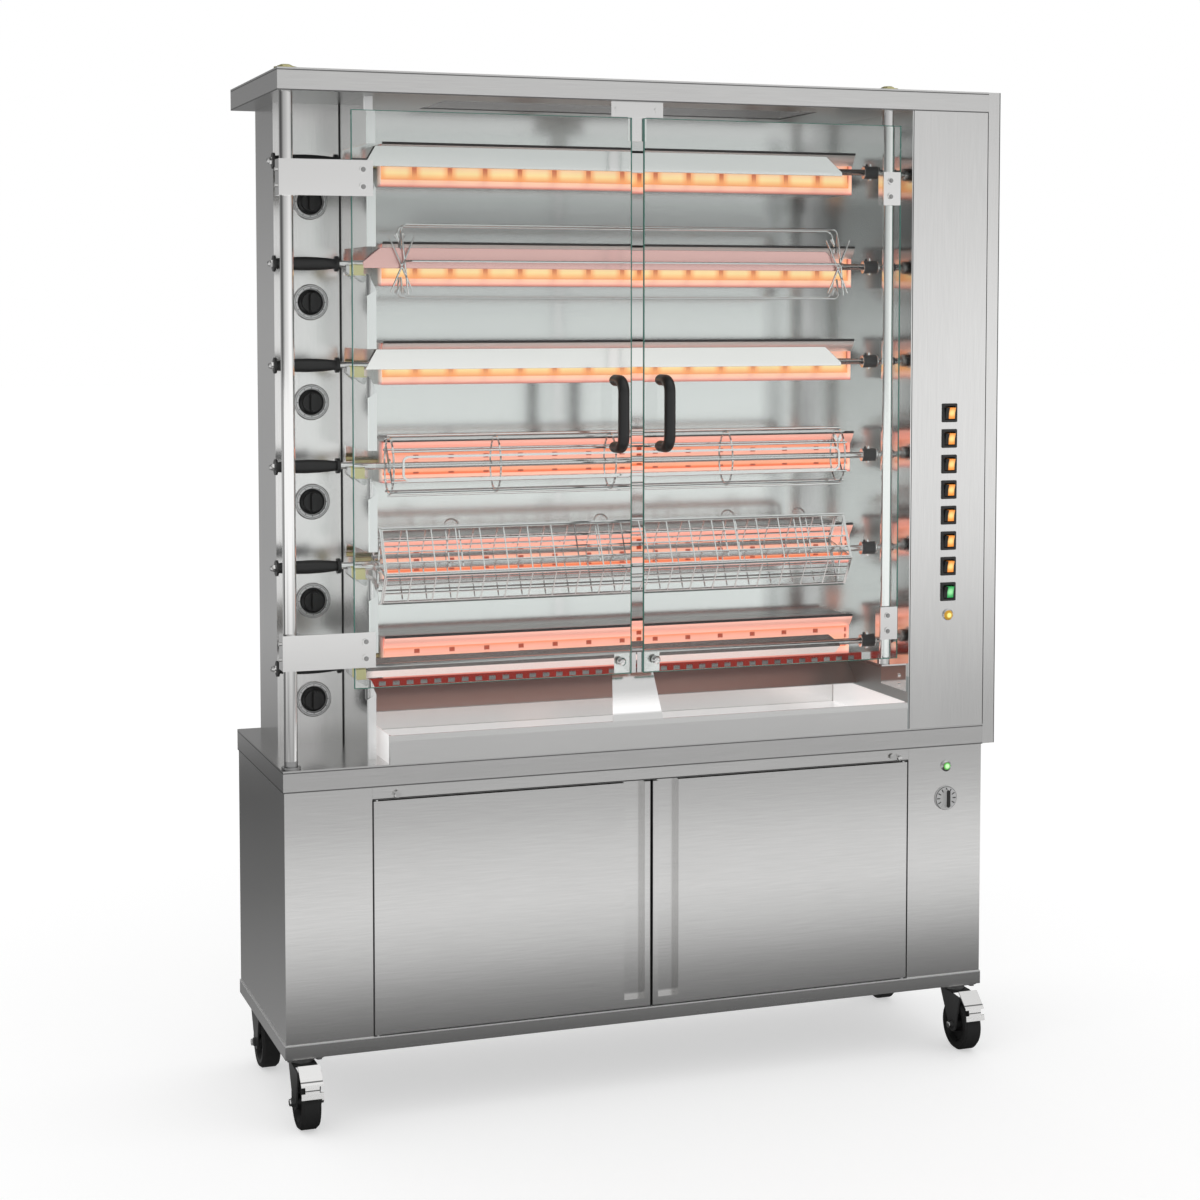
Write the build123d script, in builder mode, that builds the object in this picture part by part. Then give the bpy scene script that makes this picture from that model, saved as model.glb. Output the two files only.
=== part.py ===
"""Six-spit gas rotisserie on a heated cupboard with castors.

Millimetres, +Z up. The origin is on the floor under the middle of the whole
machine, and -Y is the front. Distances in this file are given from the left
side of the deck, back from the front plane of the deck and up from the floor;
at(), block() and the plane functions turn them into the model's own frame.
"""

import os
from math import atan2, cos, degrees, radians, sin

from build123d import *

os.makedirs("parts", exist_ok=True)

# Overall sizes
BODY_W = 1400.0  # deck, canopy and plinth, left to right
BODY_D = 438.0  # deck and plinth, front to back
CANOPY_OVERHANG = 7.0  # the canopy reaches this much further back
PLINTH_H = 26.0
CUPBOARD_H = 456.0
DECK_H = 40.0
OPENING_H = 1200.0  # deck top to underside of the canopy
CANOPY_H = 40.0
SHEET = 2.0  # stainless sheet, everywhere unless named
LIP = 2.0  # how far the plinth and deck stand proud of the cupboard
COVER_W = 28.0  # folded cover on the right side
SWITCH_BAY_W = 163.0  # right compartment behind the switch panel

# Clearances
SEAT = 0.2  # between pieces that rest on each other
RUN = 0.3  # between a moving piece and what it passes
PIN_RUN = 0.05  # radial, pins and posts in their holes
DOOR_GAP = 1.5  # round the cupboard doors

# Cupboard
SIDE_PANEL_W = 160.0  # fixed panels beside the doors
RAIL_H = 23.5
CENTRE_GAP = 4.0
DOOR_T = 22.0
DOOR_BOTTOM_GAP = 2.0
DOOR_TOP_GAP = 2.5
PULL_INSET = 11.5  # strip between finger pull and the door's free edge
PULL_W = 41.0
PULL_DEPTH = 18.0
PULL_CAP_H = 15.0
PIN_R = 3.0
PIN_INSET_X = 8.0
PIN_INSET_Y = 4.0
FLANGE = 18.0
PLINTH_FLANGE = 80.0
RAIL_SCREW_INSET = 42.0  # from a door's hinge edge
RAIL_SCREW_DROP = 16.0

# Castors
WHEEL_R = 50.0
WHEEL_W = 35.0
AXLE_R = 6.0
TRAIL = 36.0  # axle ahead of the swivel
CASTOR_TOP = 28.0  # from the top of the wheel to the underside of the plinth
CASTOR_INSET_X = 38.0
CASTOR_INSET_Y = 40.0
PLATE_SIDE = 70.0
PLATE_T = 3.0
PLATE_SCREW = 6.0
RACE_H = 11.0
RACE_R = 22.0
FORK_T = 3.0
FORK_RUN = 1.5  # between the wheel and each cheek

# Upper body
SIDE_WALL_X = 42.0  # outer face of the left side wall
LEFT_WALL_X = 168.0  # outer face of the cavity's left wall
LEFT_WALL_Y = 60.0  # its front flange
LEFT_FLANGE_W = 17.0
BACK_INSET = 23.0  # back cover ahead of the deck's back edge
BACK_SPACE = 65.0  # between the cavity's back and the back cover
BAY_INSET = 100.0  # control panel ahead of the cavity's back

# Spits, rows counted from the top
SPIT_Y = 110.0
SPIT_ROWS = 6
TOP_ROW_DROP = 116.0  # top row below the canopy
BOTTOM_ROW_RISE = 167.0  # bottom row above the deck
SHAFT_R = 6.0
BLADE_LEG = 24.0
BLADE_T = 2.0
BLADE_GAP = 50.5  # end of the blade to the coupling
BLADE_TAPER = 28.0
GRIP_R = 13.0
GRIP_L = 119.0
GRIP_X = 12.0
COUPLING_R = 12.5
COUPLING_L = 31.0
COUPLING_GAP = 69.5  # coupling's near end to the right wall
MOTOR_SHAFT_DEPTH = 15.0
NOTCH_TOP = 30.0  # above the spit axis
NOTCH_SEAT = 19.5  # below the spit axis
NOTCH_DEEP_Y = 225.0
LEAD_R = 17.0
LEAD_DROP = 58.0

# Wire and baskets
WIRE_R = 2.0
CAGE_R = 55.0
CAGE_INSET = (44.0, 46.5)  # from the left wall and from the coupling
MESH_WIRE = 2.4
MESH_INSET = (28.0, 45.5)
MESH_BAYS = 20
HUB_INSET = (66.0, 62.5)

# Burners
BURNER_INSET = (58.0, 49.0)  # from the left and right walls
BURNER_DEPTH = 100.0
BURNER_HALF_H = 39.0
GLOW_HALF_H = 25.0
CERAMIC_INSET = 20.0  # plates behind the burner's mouth
CERAMIC_T = 14.0
PLATES = 14
PLATE_GAP = 5.0

# Glass doors
POST_R = 12.2
LEFT_POST = (19.0, 22.0)
RIGHT_POST_INSET = 43.0  # from the right wall
GLASS_T = 6.0
GLASS_Y = 3.0
GLASS_BOTTOM = 140.0  # above the deck
GLASS_TOP = 30.0  # below the canopy
GLASS_LEFT_X = 132.0
GLASS_OVERHANG = 20.0  # past the right post's middle
PANE_GAP = 24.5
HINGE_H = 63.5
HINGE_BLOCK_W = 33.0
HINGE_SCREWS = (18.0, 46.0)  # above a hinge's lower edge
HINGE_INSET = (38.0, 88.5)  # from the panes' lower and upper edges
HANDLE_R = 10.5
HANDLE_OUT = 55.0
HANDLE_RISE = 424.0  # lower boss above the panes' lower edge
HANDLE_SPAN = 123.5
HANDLE_INSET = 33.0

# Drip tray
TRAY_INSET = (26.0, 4.0)  # from the left and right walls
TRAY_FRONT = -6.0
TRAY_BACK_GAP = 20.0
TRAY_H = 53.0
HEM = 10.0

# Knobs and switches
KNOB_X = 110.5
TOP_KNOB_DROP = 181.4
BOTTOM_KNOB_RISE = 83.6
KNOB_R = 22.0
KNOB_L = 22.0
SPINDLE_R = 4.0
BEZEL_R = 34.0
BEZEL_T = 4.0
VALVE_SPACE = 50.0  # from the control panel to the valves' middle
SWITCH_INSET = 80.0  # from the deck's right side
SWITCH_RISE = 617.0
SWITCH_PITCH = 50.1
SWITCHES = 8
SWITCH_W = 33.0
SWITCH_H = 37.0
LAMP_R = 11.0
YELLOW_LAMP_DROP = 396.0  # below the top switch
GREEN_LAMP_DROP = 39.0  # below the deck
DIAL_DROP = 103.0
DIAL_R = 24.0

# Heights and places worked out from the sizes above
CASTOR_H = 2 * WHEEL_R + CASTOR_TOP
PLINTH_Z = CASTOR_H
BODY_Z = PLINTH_Z + PLINTH_H
DECK_Z = BODY_Z + CUPBOARD_H
OPEN_Z = DECK_Z + DECK_H
CANOPY_Z = OPEN_Z + OPENING_H
TOP_Z = CANOPY_Z + CANOPY_H
CANOPY_D = BODY_D + CANOPY_OVERHANG
LEFT = -(BODY_W + COVER_W) / 2
FRONT = (HANDLE_OUT - CANOPY_D) / 2
BACK_COVER_Y = BODY_D - BACK_INSET
CAVITY_BACK_Y = BACK_COVER_Y - BACK_SPACE
BAY_BACK_Y = CAVITY_BACK_Y - BAY_INSET
BURNER_Y = CAVITY_BACK_Y - BURNER_DEPTH
CERAMIC_Y = BURNER_Y + CERAMIC_INSET
VALVE_Y = BAY_BACK_Y + VALVE_SPACE
SWITCH_PANEL_X = BODY_W - SWITCH_BAY_W
RIGHT_WALL_X = SWITCH_PANEL_X - SHEET
COUPLING_X = RIGHT_WALL_X - COUPLING_GAP
BLADE_END_X = COUPLING_X - BLADE_GAP
CAGE_X = (LEFT_WALL_X + CAGE_INSET[0], COUPLING_X - CAGE_INSET[1])
MESH_X = (LEFT_WALL_X + MESH_INSET[0], COUPLING_X - MESH_INSET[1])
FORK_HUBS_X = (LEFT_WALL_X + HUB_INSET[0], COUPLING_X - HUB_INSET[1])
BURNER_X = (LEFT_WALL_X + BURNER_INSET[0], RIGHT_WALL_X - BURNER_INSET[1])
TRAY_X = (LEFT_WALL_X + TRAY_INSET[0], RIGHT_WALL_X - TRAY_INSET[1])
TRAY_Y = (TRAY_FRONT, CAVITY_BACK_Y - TRAY_BACK_GAP)
RIGHT_POST = (RIGHT_WALL_X - RIGHT_POST_INSET, LEFT_POST[1])
PANE_W = (RIGHT_POST[0] + GLASS_OVERHANG - GLASS_LEFT_X - PANE_GAP) / 2
LEFT_PANE = (GLASS_LEFT_X, GLASS_LEFT_X + PANE_W)
RIGHT_PANE = (LEFT_PANE[1] + PANE_GAP, LEFT_PANE[1] + PANE_GAP + PANE_W)
PANES_MIDDLE = (LEFT_PANE[1] + RIGHT_PANE[0]) / 2
GLASS_Z = (OPEN_Z + GLASS_BOTTOM, CANOPY_Z - GLASS_TOP)
HINGE_Z = (GLASS_Z[0] + HINGE_INSET[0], GLASS_Z[1] - HINGE_INSET[1] - HINGE_H)
HANDLE_Z = (GLASS_Z[0] + HANDLE_RISE, GLASS_Z[0] + HANDLE_RISE + HANDLE_SPAN)
ROW_PITCH = (OPENING_H - TOP_ROW_DROP - BOTTOM_ROW_RISE) / (SPIT_ROWS - 1)
ROWS = [CANOPY_Z - TOP_ROW_DROP - ROW_PITCH * row for row in range(SPIT_ROWS)]
KNOB_PITCH = (OPENING_H - TOP_KNOB_DROP - BOTTOM_KNOB_RISE) / (SPIT_ROWS - 1)
KNOBS = [CANOPY_Z - TOP_KNOB_DROP - KNOB_PITCH * row for row in range(SPIT_ROWS)]
SWITCH_X = BODY_W - SWITCH_INSET
SWITCHES_Z = [OPEN_Z + SWITCH_RISE - SWITCH_PITCH * row for row in range(SWITCHES)]
YELLOW_LAMP_Z = SWITCHES_Z[0] - YELLOW_LAMP_DROP
GREEN_LAMP_Z = DECK_Z - GREEN_LAMP_DROP
DIAL_Z = DECK_Z - DIAL_DROP
RAIL_Z = DECK_Z - RAIL_H
PANEL_Y = LIP + SHEET
LEFT_DOOR_X = SIDE_PANEL_W + LIP + DOOR_GAP
RIGHT_PANEL_X = BODY_W - LIP - SIDE_PANEL_W
RIGHT_DOOR_X = RIGHT_PANEL_X - DOOR_GAP
DOOR_W = (RIGHT_DOOR_X - LEFT_DOOR_X - CENTRE_GAP) / 2
DOOR_Z = (BODY_Z + DOOR_BOTTOM_GAP, RAIL_Z - DOOR_TOP_GAP)
WHEEL_Z = WHEEL_R
CASTORS = {
    "front_left": (CASTOR_INSET_X, CASTOR_INSET_Y),
    "front_right": (BODY_W - CASTOR_INSET_X, CASTOR_INSET_Y),
    "back_left": (CASTOR_INSET_X, BODY_D - CASTOR_INSET_Y),
    "back_right": (BODY_W - CASTOR_INSET_X, BODY_D - CASTOR_INSET_Y),
}


def at(x, y, z):
    """A point of the machine in the model's frame."""
    return (LEFT + x, FRONT + y, z)


def front_plane(x, y, z):
    """A sketch plane facing the front: its own x is right and its own y is up."""
    return Plane(origin=at(x, y, z), x_dir=(1, 0, 0), z_dir=(0, -1, 0))


def side_plane(x, y, z):
    """A sketch plane facing right: its own x is back and its own y is up."""
    return Plane(origin=at(x, y, z), x_dir=(0, 1, 0), z_dir=(1, 0, 0))


def floor_plane(x, y, z):
    """A level sketch plane: its own x is right and its own y is back."""
    return Plane(origin=at(x, y, z), x_dir=(1, 0, 0), z_dir=(0, 0, 1))


def block(x, y, z, mode=Mode.ADD):
    """A block between a low and a high value each way."""
    with Locations(at((x[0] + x[1]) / 2, (y[0] + y[1]) / 2, (z[0] + z[1]) / 2)):
        Box(x[1] - x[0], y[1] - y[0], z[1] - z[0], mode=mode)


def disc(plane, radius, length, mode=Mode.ADD):
    """A round bar from a plane, along its normal."""
    with BuildSketch(plane) as outline:
        Circle(radius)
    extrude(outline.sketch, amount=length, mode=mode)


def ring(plane, outer, inner, length, mode=Mode.ADD):
    """A round bar with a hole through it."""
    with BuildSketch(plane) as outline:
        Circle(outer)
        Circle(inner, mode=Mode.SUBTRACT)
    extrude(outline.sketch, amount=length, mode=mode)


def slab(plane, points, length, mode=Mode.ADD):
    """A straight-sided outline made solid along the plane's normal."""
    with BuildSketch(plane) as outline:
        with BuildLine():
            Polyline(*points, close=True)
        make_face()
    extrude(outline.sketch, amount=length, mode=mode)


def folded(plane, points, length, side=1, thickness=SHEET, mode=Mode.ADD):
    """Sheet folded along a line of points; side 1 lays its thickness left of the line, -1 right."""
    path = [Vector(*point) for point in points]
    runs = [(far - near).normalized() for near, far in zip(path, path[1:])]
    normals = [Vector(-run.Y, run.X) * side for run in runs]
    inner = [path[0] + normals[0] * thickness]
    for corner, before, after in zip(path[1:], normals, normals[1:]):
        inner.append(corner + (before + after) * (thickness / (1 + before.dot(after))))
    inner.append(path[-1] + normals[-1] * thickness)
    slab(plane, path + inner[::-1], length, mode=mode)


def turned(plane, points, mode=Mode.ADD):
    """A half outline (radius, height) turned about the plane's normal."""
    half = Plane(origin=plane.origin, x_dir=plane.x_dir, z_dir=plane.y_dir * -1)
    with BuildSketch(half) as outline:
        with BuildLine():
            Polyline(*points, close=True)
        make_face()
    revolve(outline.sketch, axis=Axis(plane.origin, plane.z_dir), mode=mode)


def acorn(plane, radius, height):
    """A dome nut: hexagon foot and round cap."""
    with BuildSketch(plane) as foot:
        RegularPolygon(radius, 6)
    extrude(foot.sketch, amount=height * 0.45)
    cap = [(0, 0), (radius * 0.8, 0), (radius * 0.8, height * 0.6), (radius * 0.55, height * 0.9)]
    turned(plane, cap + [(0, height)])


def write(piece, name):
    """Label one finished piece and write it."""
    piece.label = name
    export_step(piece, f"parts/{name}.step")


# Cupboard carcass: a folded plinth tray, with the walls, dividers and ceiling welded up on it
with BuildPart() as plinth:
    block((0, BODY_W), (0, BODY_D), (PLINTH_Z, BODY_Z))
    block(
        (SHEET, BODY_W - SHEET),
        (SHEET, BODY_D - SHEET),
        (PLINTH_Z + SHEET, BODY_Z - SHEET),
        mode=Mode.SUBTRACT,
    )
    block(
        (PLINTH_FLANGE, BODY_W - PLINTH_FLANGE),
        (PLINTH_FLANGE, BODY_D - PLINTH_FLANGE),
        (PLINTH_Z, PLINTH_Z + SHEET),
        mode=Mode.SUBTRACT,
    )
    for pin_x in (LEFT_DOOR_X + PIN_INSET_X, RIGHT_DOOR_X - PIN_INSET_X):
        disc(
            floor_plane(pin_x, LIP + PIN_INSET_Y, BODY_Z - SHEET),
            PIN_R + PIN_RUN,
            SHEET,
            mode=Mode.SUBTRACT,
        )
WALLS_BACK_Y = BODY_D - LIP - SHEET
DIVIDER_Y = PANEL_Y + FLANGE
carcass_sheets = []
for wall_x, wall_y in (
    (LIP, PANEL_Y),
    (SIDE_PANEL_W + LIP - SHEET, DIVIDER_Y),
    (RIGHT_PANEL_X, DIVIDER_Y),
    (BODY_W - LIP - SHEET, PANEL_Y),
):
    with BuildPart() as upright:
        block((wall_x, wall_x + SHEET), (wall_y, WALLS_BACK_Y), (BODY_Z, DECK_Z - SHEET))
    carcass_sheets.append(upright.part)
with BuildPart() as back_sheet:
    block((LIP, BODY_W - LIP), (WALLS_BACK_Y, WALLS_BACK_Y + SHEET), (BODY_Z, DECK_Z - SHEET))
carcass_sheets.append(back_sheet.part)
with BuildPart() as ceiling:
    block((LIP, BODY_W - LIP), (PANEL_Y, BODY_D - LIP), (DECK_Z - SHEET, DECK_Z))
carcass_sheets.append(ceiling.part)
# castor plates with their swivel races, screwed up against the plinth's flange
with BuildPart() as castor_plates:
    for swivel_x, swivel_y in CASTORS.values():
        plate_plane = floor_plane(swivel_x, swivel_y, CASTOR_H - SEAT - PLATE_T)
        with BuildSketch(plate_plane) as plate:
            RectangleRounded(PLATE_SIDE, PLATE_SIDE, 8)
        extrude(plate.sketch, amount=PLATE_T)
        disc(plate_plane, RACE_R, -RACE_H)
        with BuildSketch(plate_plane) as heads:
            with GridLocations(PLATE_SIDE - 3 * PLATE_SCREW, PLATE_SIDE - 3 * PLATE_SCREW, 2, 2):
                RegularPolygon(PLATE_SCREW, 6)
        extrude(heads.sketch, amount=-4)
write(Compound(children=[plinth.part, *carcass_sheets, castor_plates.part]), "cupboard_carcass")

# Fixed panels beside the doors and the rail over them
PANEL_H = DECK_Z - BODY_Z
with BuildPart() as cupboard_front_frame:
    folded(
        floor_plane(LIP, LIP, BODY_Z),
        [(0, 0), (SIDE_PANEL_W, 0), (SIDE_PANEL_W, FLANGE)],
        PANEL_H,
    )
    folded(
        floor_plane(RIGHT_PANEL_X, LIP, BODY_Z),
        [(0, FLANGE), (0, 0), (SIDE_PANEL_W, 0)],
        PANEL_H,
    )
    rail_x = LIP + SIDE_PANEL_W + SEAT
    folded(
        side_plane(rail_x, LIP, RAIL_Z),
        [(FLANGE, 0), (0, 0), (0, RAIL_H)],
        RIGHT_PANEL_X - SEAT - rail_x,
        side=-1,
    )
    for pin_x in (LEFT_DOOR_X + PIN_INSET_X, RIGHT_DOOR_X - PIN_INSET_X):
        disc(
            floor_plane(pin_x, LIP + PIN_INSET_Y, RAIL_Z),
            PIN_R + PIN_RUN,
            SHEET,
            mode=Mode.SUBTRACT,
        )
    block((LIP, BODY_W - LIP), (PANEL_Y, BODY_D), (DECK_Z - SHEET, DECK_Z), mode=Mode.SUBTRACT)
    spindle_hole = front_plane(SWITCH_X, LIP + SHEET, DIAL_Z)
    disc(spindle_hole, SPINDLE_R + RUN, SHEET, mode=Mode.SUBTRACT)
    lamp_hole = front_plane(SWITCH_X, LIP + SHEET, GREEN_LAMP_Z)
    disc(lamp_hole, LAMP_R - 2, SHEET, mode=Mode.SUBTRACT)
    # dome screws near the ends of the rail
    for screw_x in (LEFT_DOOR_X + RAIL_SCREW_INSET, RIGHT_DOOR_X - RAIL_SCREW_INSET / 2):
        acorn(front_plane(screw_x, LIP - SEAT, DECK_Z - RAIL_SCREW_DROP), 7, 9)
write(cupboard_front_frame.part, "cupboard_front_frame")


def cupboard_door(hinge_x, free_x, name):
    """A folded pan door with a finger-pull channel along its free edge and two hinge pins."""
    low, high = min(hinge_x, free_x), max(hinge_x, free_x)
    inward = 1 if free_x > hinge_x else -1
    pull_far = free_x - inward * (PULL_INSET + PULL_W)
    pull_near = free_x - inward * PULL_INSET
    back = LIP + DOOR_T
    floor_z, top_z = DOOR_Z
    line = [
        (hinge_x, back),
        (hinge_x, LIP),
        (pull_far, LIP),
        (pull_far, LIP + PULL_DEPTH),
        (pull_near, LIP + PULL_DEPTH),
        (pull_near, LIP),
        (free_x, LIP),
        (free_x, back),
    ]
    with BuildPart() as door:
        folded(floor_plane(0, 0, floor_z), line if inward > 0 else line[::-1], top_z - floor_z)
        for end_z in (floor_z, top_z - SHEET):
            block((low, high), (PULL_DEPTH + LIP, back), (end_z, end_z + SHEET))
            block((min(hinge_x, pull_far), max(hinge_x, pull_far)), (LIP, back), (end_z, end_z + SHEET))
        block(
            (min(pull_far, pull_near), max(pull_far, pull_near)),
            (LIP, LIP + PULL_DEPTH),
            (floor_z, floor_z + PULL_CAP_H),
        )
        pin_x = hinge_x + inward * PIN_INSET_X
        pin_y = LIP + PIN_INSET_Y
        disc(floor_plane(pin_x, pin_y, floor_z - DOOR_BOTTOM_GAP - SHEET), PIN_R, DOOR_BOTTOM_GAP + SHEET)
        disc(floor_plane(pin_x, pin_y, top_z), PIN_R, DOOR_TOP_GAP + SHEET)
    write(door.part, name)


cupboard_door(LEFT_DOOR_X, LEFT_DOOR_X + DOOR_W, "cupboard_door_left")
cupboard_door(RIGHT_DOOR_X, RIGHT_DOOR_X - DOOR_W, "cupboard_door_right")

# Deck: a shallow folded tray upside down, closed round its underside by a flange
with BuildPart() as base_deck:
    block((0, BODY_W), (0, BODY_D), (DECK_Z, OPEN_Z))
    block(
        (SHEET, BODY_W - SHEET),
        (SHEET, BODY_D - SHEET),
        (DECK_Z + SHEET, OPEN_Z - SHEET),
        mode=Mode.SUBTRACT,
    )
    block(
        (FLANGE, BODY_W - FLANGE),
        (FLANGE, BODY_D - FLANGE),
        (DECK_Z, DECK_Z + SHEET),
        mode=Mode.SUBTRACT,
    )
write(base_deck.part, "base_deck")

# Canopy: a closed folded box with a flue duct through it, its collar standing above the top,
# and a wiring hole over the right compartment
FLUE_X = (LEFT_WALL_X + 162.0, RIGHT_WALL_X - 155.0)
FLUE_Y = (100.0, CAVITY_BACK_Y - 70.0)
COLLAR_H = 8.0
with BuildPart() as canopy:
    block((0, BODY_W), (0, CANOPY_D), (CANOPY_Z, TOP_Z))
    block(
        (SHEET, BODY_W - SHEET),
        (SHEET, CANOPY_D - SHEET),
        (CANOPY_Z + SHEET, TOP_Z - SHEET),
        mode=Mode.SUBTRACT,
    )
    block(
        (FLUE_X[0] - SHEET, FLUE_X[1] + SHEET),
        (FLUE_Y[0] - SHEET, FLUE_Y[1] + SHEET),
        (CANOPY_Z, TOP_Z + COLLAR_H),
    )
    block(FLUE_X, FLUE_Y, (CANOPY_Z, TOP_Z + COLLAR_H), mode=Mode.SUBTRACT)
    block(
        (SWITCH_PANEL_X + FLANGE, BODY_W - FLANGE),
        (FLANGE, CAVITY_BACK_Y),
        (CANOPY_Z, CANOPY_Z + SHEET),
        mode=Mode.SUBTRACT,
    )
write(canopy.part, "canopy")

# Left side wall and back cover in one folded sheet
INLET_X = KNOB_X
INLET_Z = OPEN_Z + 50.0
INLET_R = 10.5
with BuildPart() as outer_casing:
    folded(
        floor_plane(SIDE_WALL_X, BAY_BACK_Y + SHEET, OPEN_Z),
        [
            (0, 0),
            (0, BACK_COVER_Y - BAY_BACK_Y),
            (BODY_W - SIDE_WALL_X, BACK_COVER_Y - BAY_BACK_Y),
        ],
        OPENING_H,
        side=-1,
    )
    inlet_hole = front_plane(INLET_X, BACK_COVER_Y + SHEET, INLET_Z)
    disc(inlet_hole, INLET_R + RUN, SHEET, mode=Mode.SUBTRACT)
write(outer_casing.part, "outer_casing")

# Control panel at the back of the handle bay, with a pressed bezel round each knob
with BuildPart() as control_panel:
    block((SIDE_WALL_X, LEFT_WALL_X), (BAY_BACK_Y, BAY_BACK_Y + SHEET), (OPEN_Z, CANOPY_Z))
    for knob_z in KNOBS:
        face = front_plane(KNOB_X, BAY_BACK_Y, knob_z)
        turned(
            face,
            [
                (KNOB_R + 3, 0),
                (BEZEL_R, 0),
                (BEZEL_R, 1.2),
                (BEZEL_R - 1.5, BEZEL_T),
                (KNOB_R + 4, BEZEL_T),
            ],
        )
        hole = front_plane(KNOB_X, BAY_BACK_Y + SHEET, knob_z)
        disc(hole, SPINDLE_R + RUN, SHEET, mode=Mode.SUBTRACT)
write(control_panel.part, "control_panel")

# Left cavity wall: a front flange, and for each spit a notch with a rolled lead-in below it
with BuildPart() as left_cavity_wall:
    folded(
        floor_plane(LEFT_WALL_X, LEFT_WALL_Y, OPEN_Z),
        [(0, CAVITY_BACK_Y - LEFT_WALL_Y), (0, 0), (LEFT_FLANGE_W, 0)],
        OPENING_H,
    )
    for row_z in ROWS:
        block(
            (LEFT_WALL_X, LEFT_WALL_X + LEFT_FLANGE_W),
            (LEFT_WALL_Y, NOTCH_DEEP_Y),
            (row_z - NOTCH_SEAT, row_z + NOTCH_TOP),
            mode=Mode.SUBTRACT,
        )
        slab(
            front_plane(LEFT_WALL_X, LEFT_WALL_Y + LEAD_R, row_z),
            [
                (0, -NOTCH_SEAT),
                (0, -LEAD_DROP),
                (LEFT_FLANGE_W, -LEAD_DROP + 10),
                (LEFT_FLANGE_W, -NOTCH_SEAT),
            ],
            LEAD_R,
            mode=Mode.SUBTRACT,
        )
        with BuildSketch(floor_plane(LEFT_WALL_X, LEFT_WALL_Y, row_z - LEAD_DROP)) as lip:
            with BuildLine():
                outer = CenterArc((LEAD_R, LEAD_R), LEAD_R, 180, 90)
                inner = CenterArc((LEAD_R, LEAD_R), LEAD_R - SHEET, 180, 90)
                Line(outer @ 0, inner @ 0)
                Line(outer @ 1, inner @ 1)
            make_face()
        extrude(lip.sketch, amount=LEAD_DROP - NOTCH_SEAT)
        slab(
            front_plane(LEFT_WALL_X, LEFT_WALL_Y + LEAD_R - 1, row_z),
            [(4, -NOTCH_SEAT), (LEFT_FLANGE_W, -LEAD_DROP + 10), (LEFT_FLANGE_W, -NOTCH_SEAT)],
            LEAD_R,
            mode=Mode.SUBTRACT,
        )
        slab(
            front_plane(LEFT_WALL_X, LEFT_WALL_Y + LEAD_R - 1, row_z),
            [(0, -LEAD_DROP), (LEFT_FLANGE_W, -LEAD_DROP + 10), (LEFT_FLANGE_W, -LEAD_DROP)],
            LEAD_R,
        )
        pipe_hole = side_plane(LEFT_WALL_X, VALVE_Y, row_z)
        disc(pipe_hole, 8, SHEET, mode=Mode.SUBTRACT)
write(left_cavity_wall.part, "left_cavity_wall")

# Right cavity wall, with a hole for each motor shaft
with BuildPart() as right_cavity_wall:
    block((RIGHT_WALL_X, RIGHT_WALL_X + SHEET), (0, CAVITY_BACK_Y), (OPEN_Z, CANOPY_Z))
    for row_z in ROWS:
        disc(side_plane(RIGHT_WALL_X, SPIT_Y, row_z), SHAFT_R + 2, SHEET, mode=Mode.SUBTRACT)
write(right_cavity_wall.part, "right_cavity_wall")

# Back of the cavity: the back sheet, and the deflector under the burners with its slotted strip
DEFLECTOR_Y = CAVITY_BACK_Y - 64.0
DEFLECTOR_TOP = OPEN_Z + 125.0
DEFLECTOR_KNEE = OPEN_Z + 105.0
DEFLECTOR_FOOT = (CAVITY_BACK_Y - 122.0, OPEN_Z + TRAY_H + 3.0)
SLOT_PITCH = 27.0
SLOT_H = 9.0
CAVITY_W = RIGHT_WALL_X - LEFT_WALL_X - SHEET
with BuildPart() as cavity_back:
    block((LEFT_WALL_X + SHEET, RIGHT_WALL_X), (CAVITY_BACK_Y, CAVITY_BACK_Y + SHEET), (OPEN_Z, CANOPY_Z))
    folded(
        side_plane(LEFT_WALL_X + SHEET, 0, 0),
        [
            DEFLECTOR_FOOT,
            (DEFLECTOR_Y, DEFLECTOR_KNEE),
            (DEFLECTOR_Y, DEFLECTOR_TOP),
            (CAVITY_BACK_Y, DEFLECTOR_TOP),
        ],
        CAVITY_W,
        side=-1,
    )
    slot_z = (DEFLECTOR_KNEE + DEFLECTOR_TOP) / 2
    middle_x = LEFT_WALL_X + SHEET + CAVITY_W / 2
    with BuildSketch(front_plane(middle_x, DEFLECTOR_Y + 2 * SHEET, slot_z)):
        with GridLocations(SLOT_PITCH, 1, int(CAVITY_W / SLOT_PITCH) - 1, 1):
            Rectangle(SLOT_PITCH / 2, SLOT_H)
    extrude(amount=4 * SHEET, mode=Mode.SUBTRACT)
write(cavity_back.part, "cavity_back")

# Burner housings: a flat channel with flared reflector lips, one behind each spit
BURNER_L = BURNER_X[1] - BURNER_X[0]
BURNER_SHEET = 1.5
with BuildPart() as housing:
    for flip in (1, -1):
        lip_line = [
            (CAVITY_BACK_Y, BURNER_HALF_H * flip),
            (BURNER_Y, BURNER_HALF_H * flip),
            (CERAMIC_Y - 1, GLOW_HALF_H * flip),
            (CERAMIC_Y - 1, (GLOW_HALF_H + 6) * flip),
        ]
        folded(
            side_plane(BURNER_X[0], 0, 0),
            lip_line if flip > 0 else lip_line[::-1],
            BURNER_L,
            thickness=BURNER_SHEET,
        )
    for end_x in (BURNER_X[0], BURNER_X[1] - BURNER_SHEET):
        block(
            (end_x, end_x + BURNER_SHEET),
            (BURNER_Y + 2, CAVITY_BACK_Y),
            (-BURNER_HALF_H + BURNER_SHEET, BURNER_HALF_H - BURNER_SHEET),
        )
with BuildPart() as burner_housings:
    for row_z in ROWS:
        with Locations((0, 0, row_z)):
            add(housing.part)
write(burner_housings.part, "burner_housings")

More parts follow.
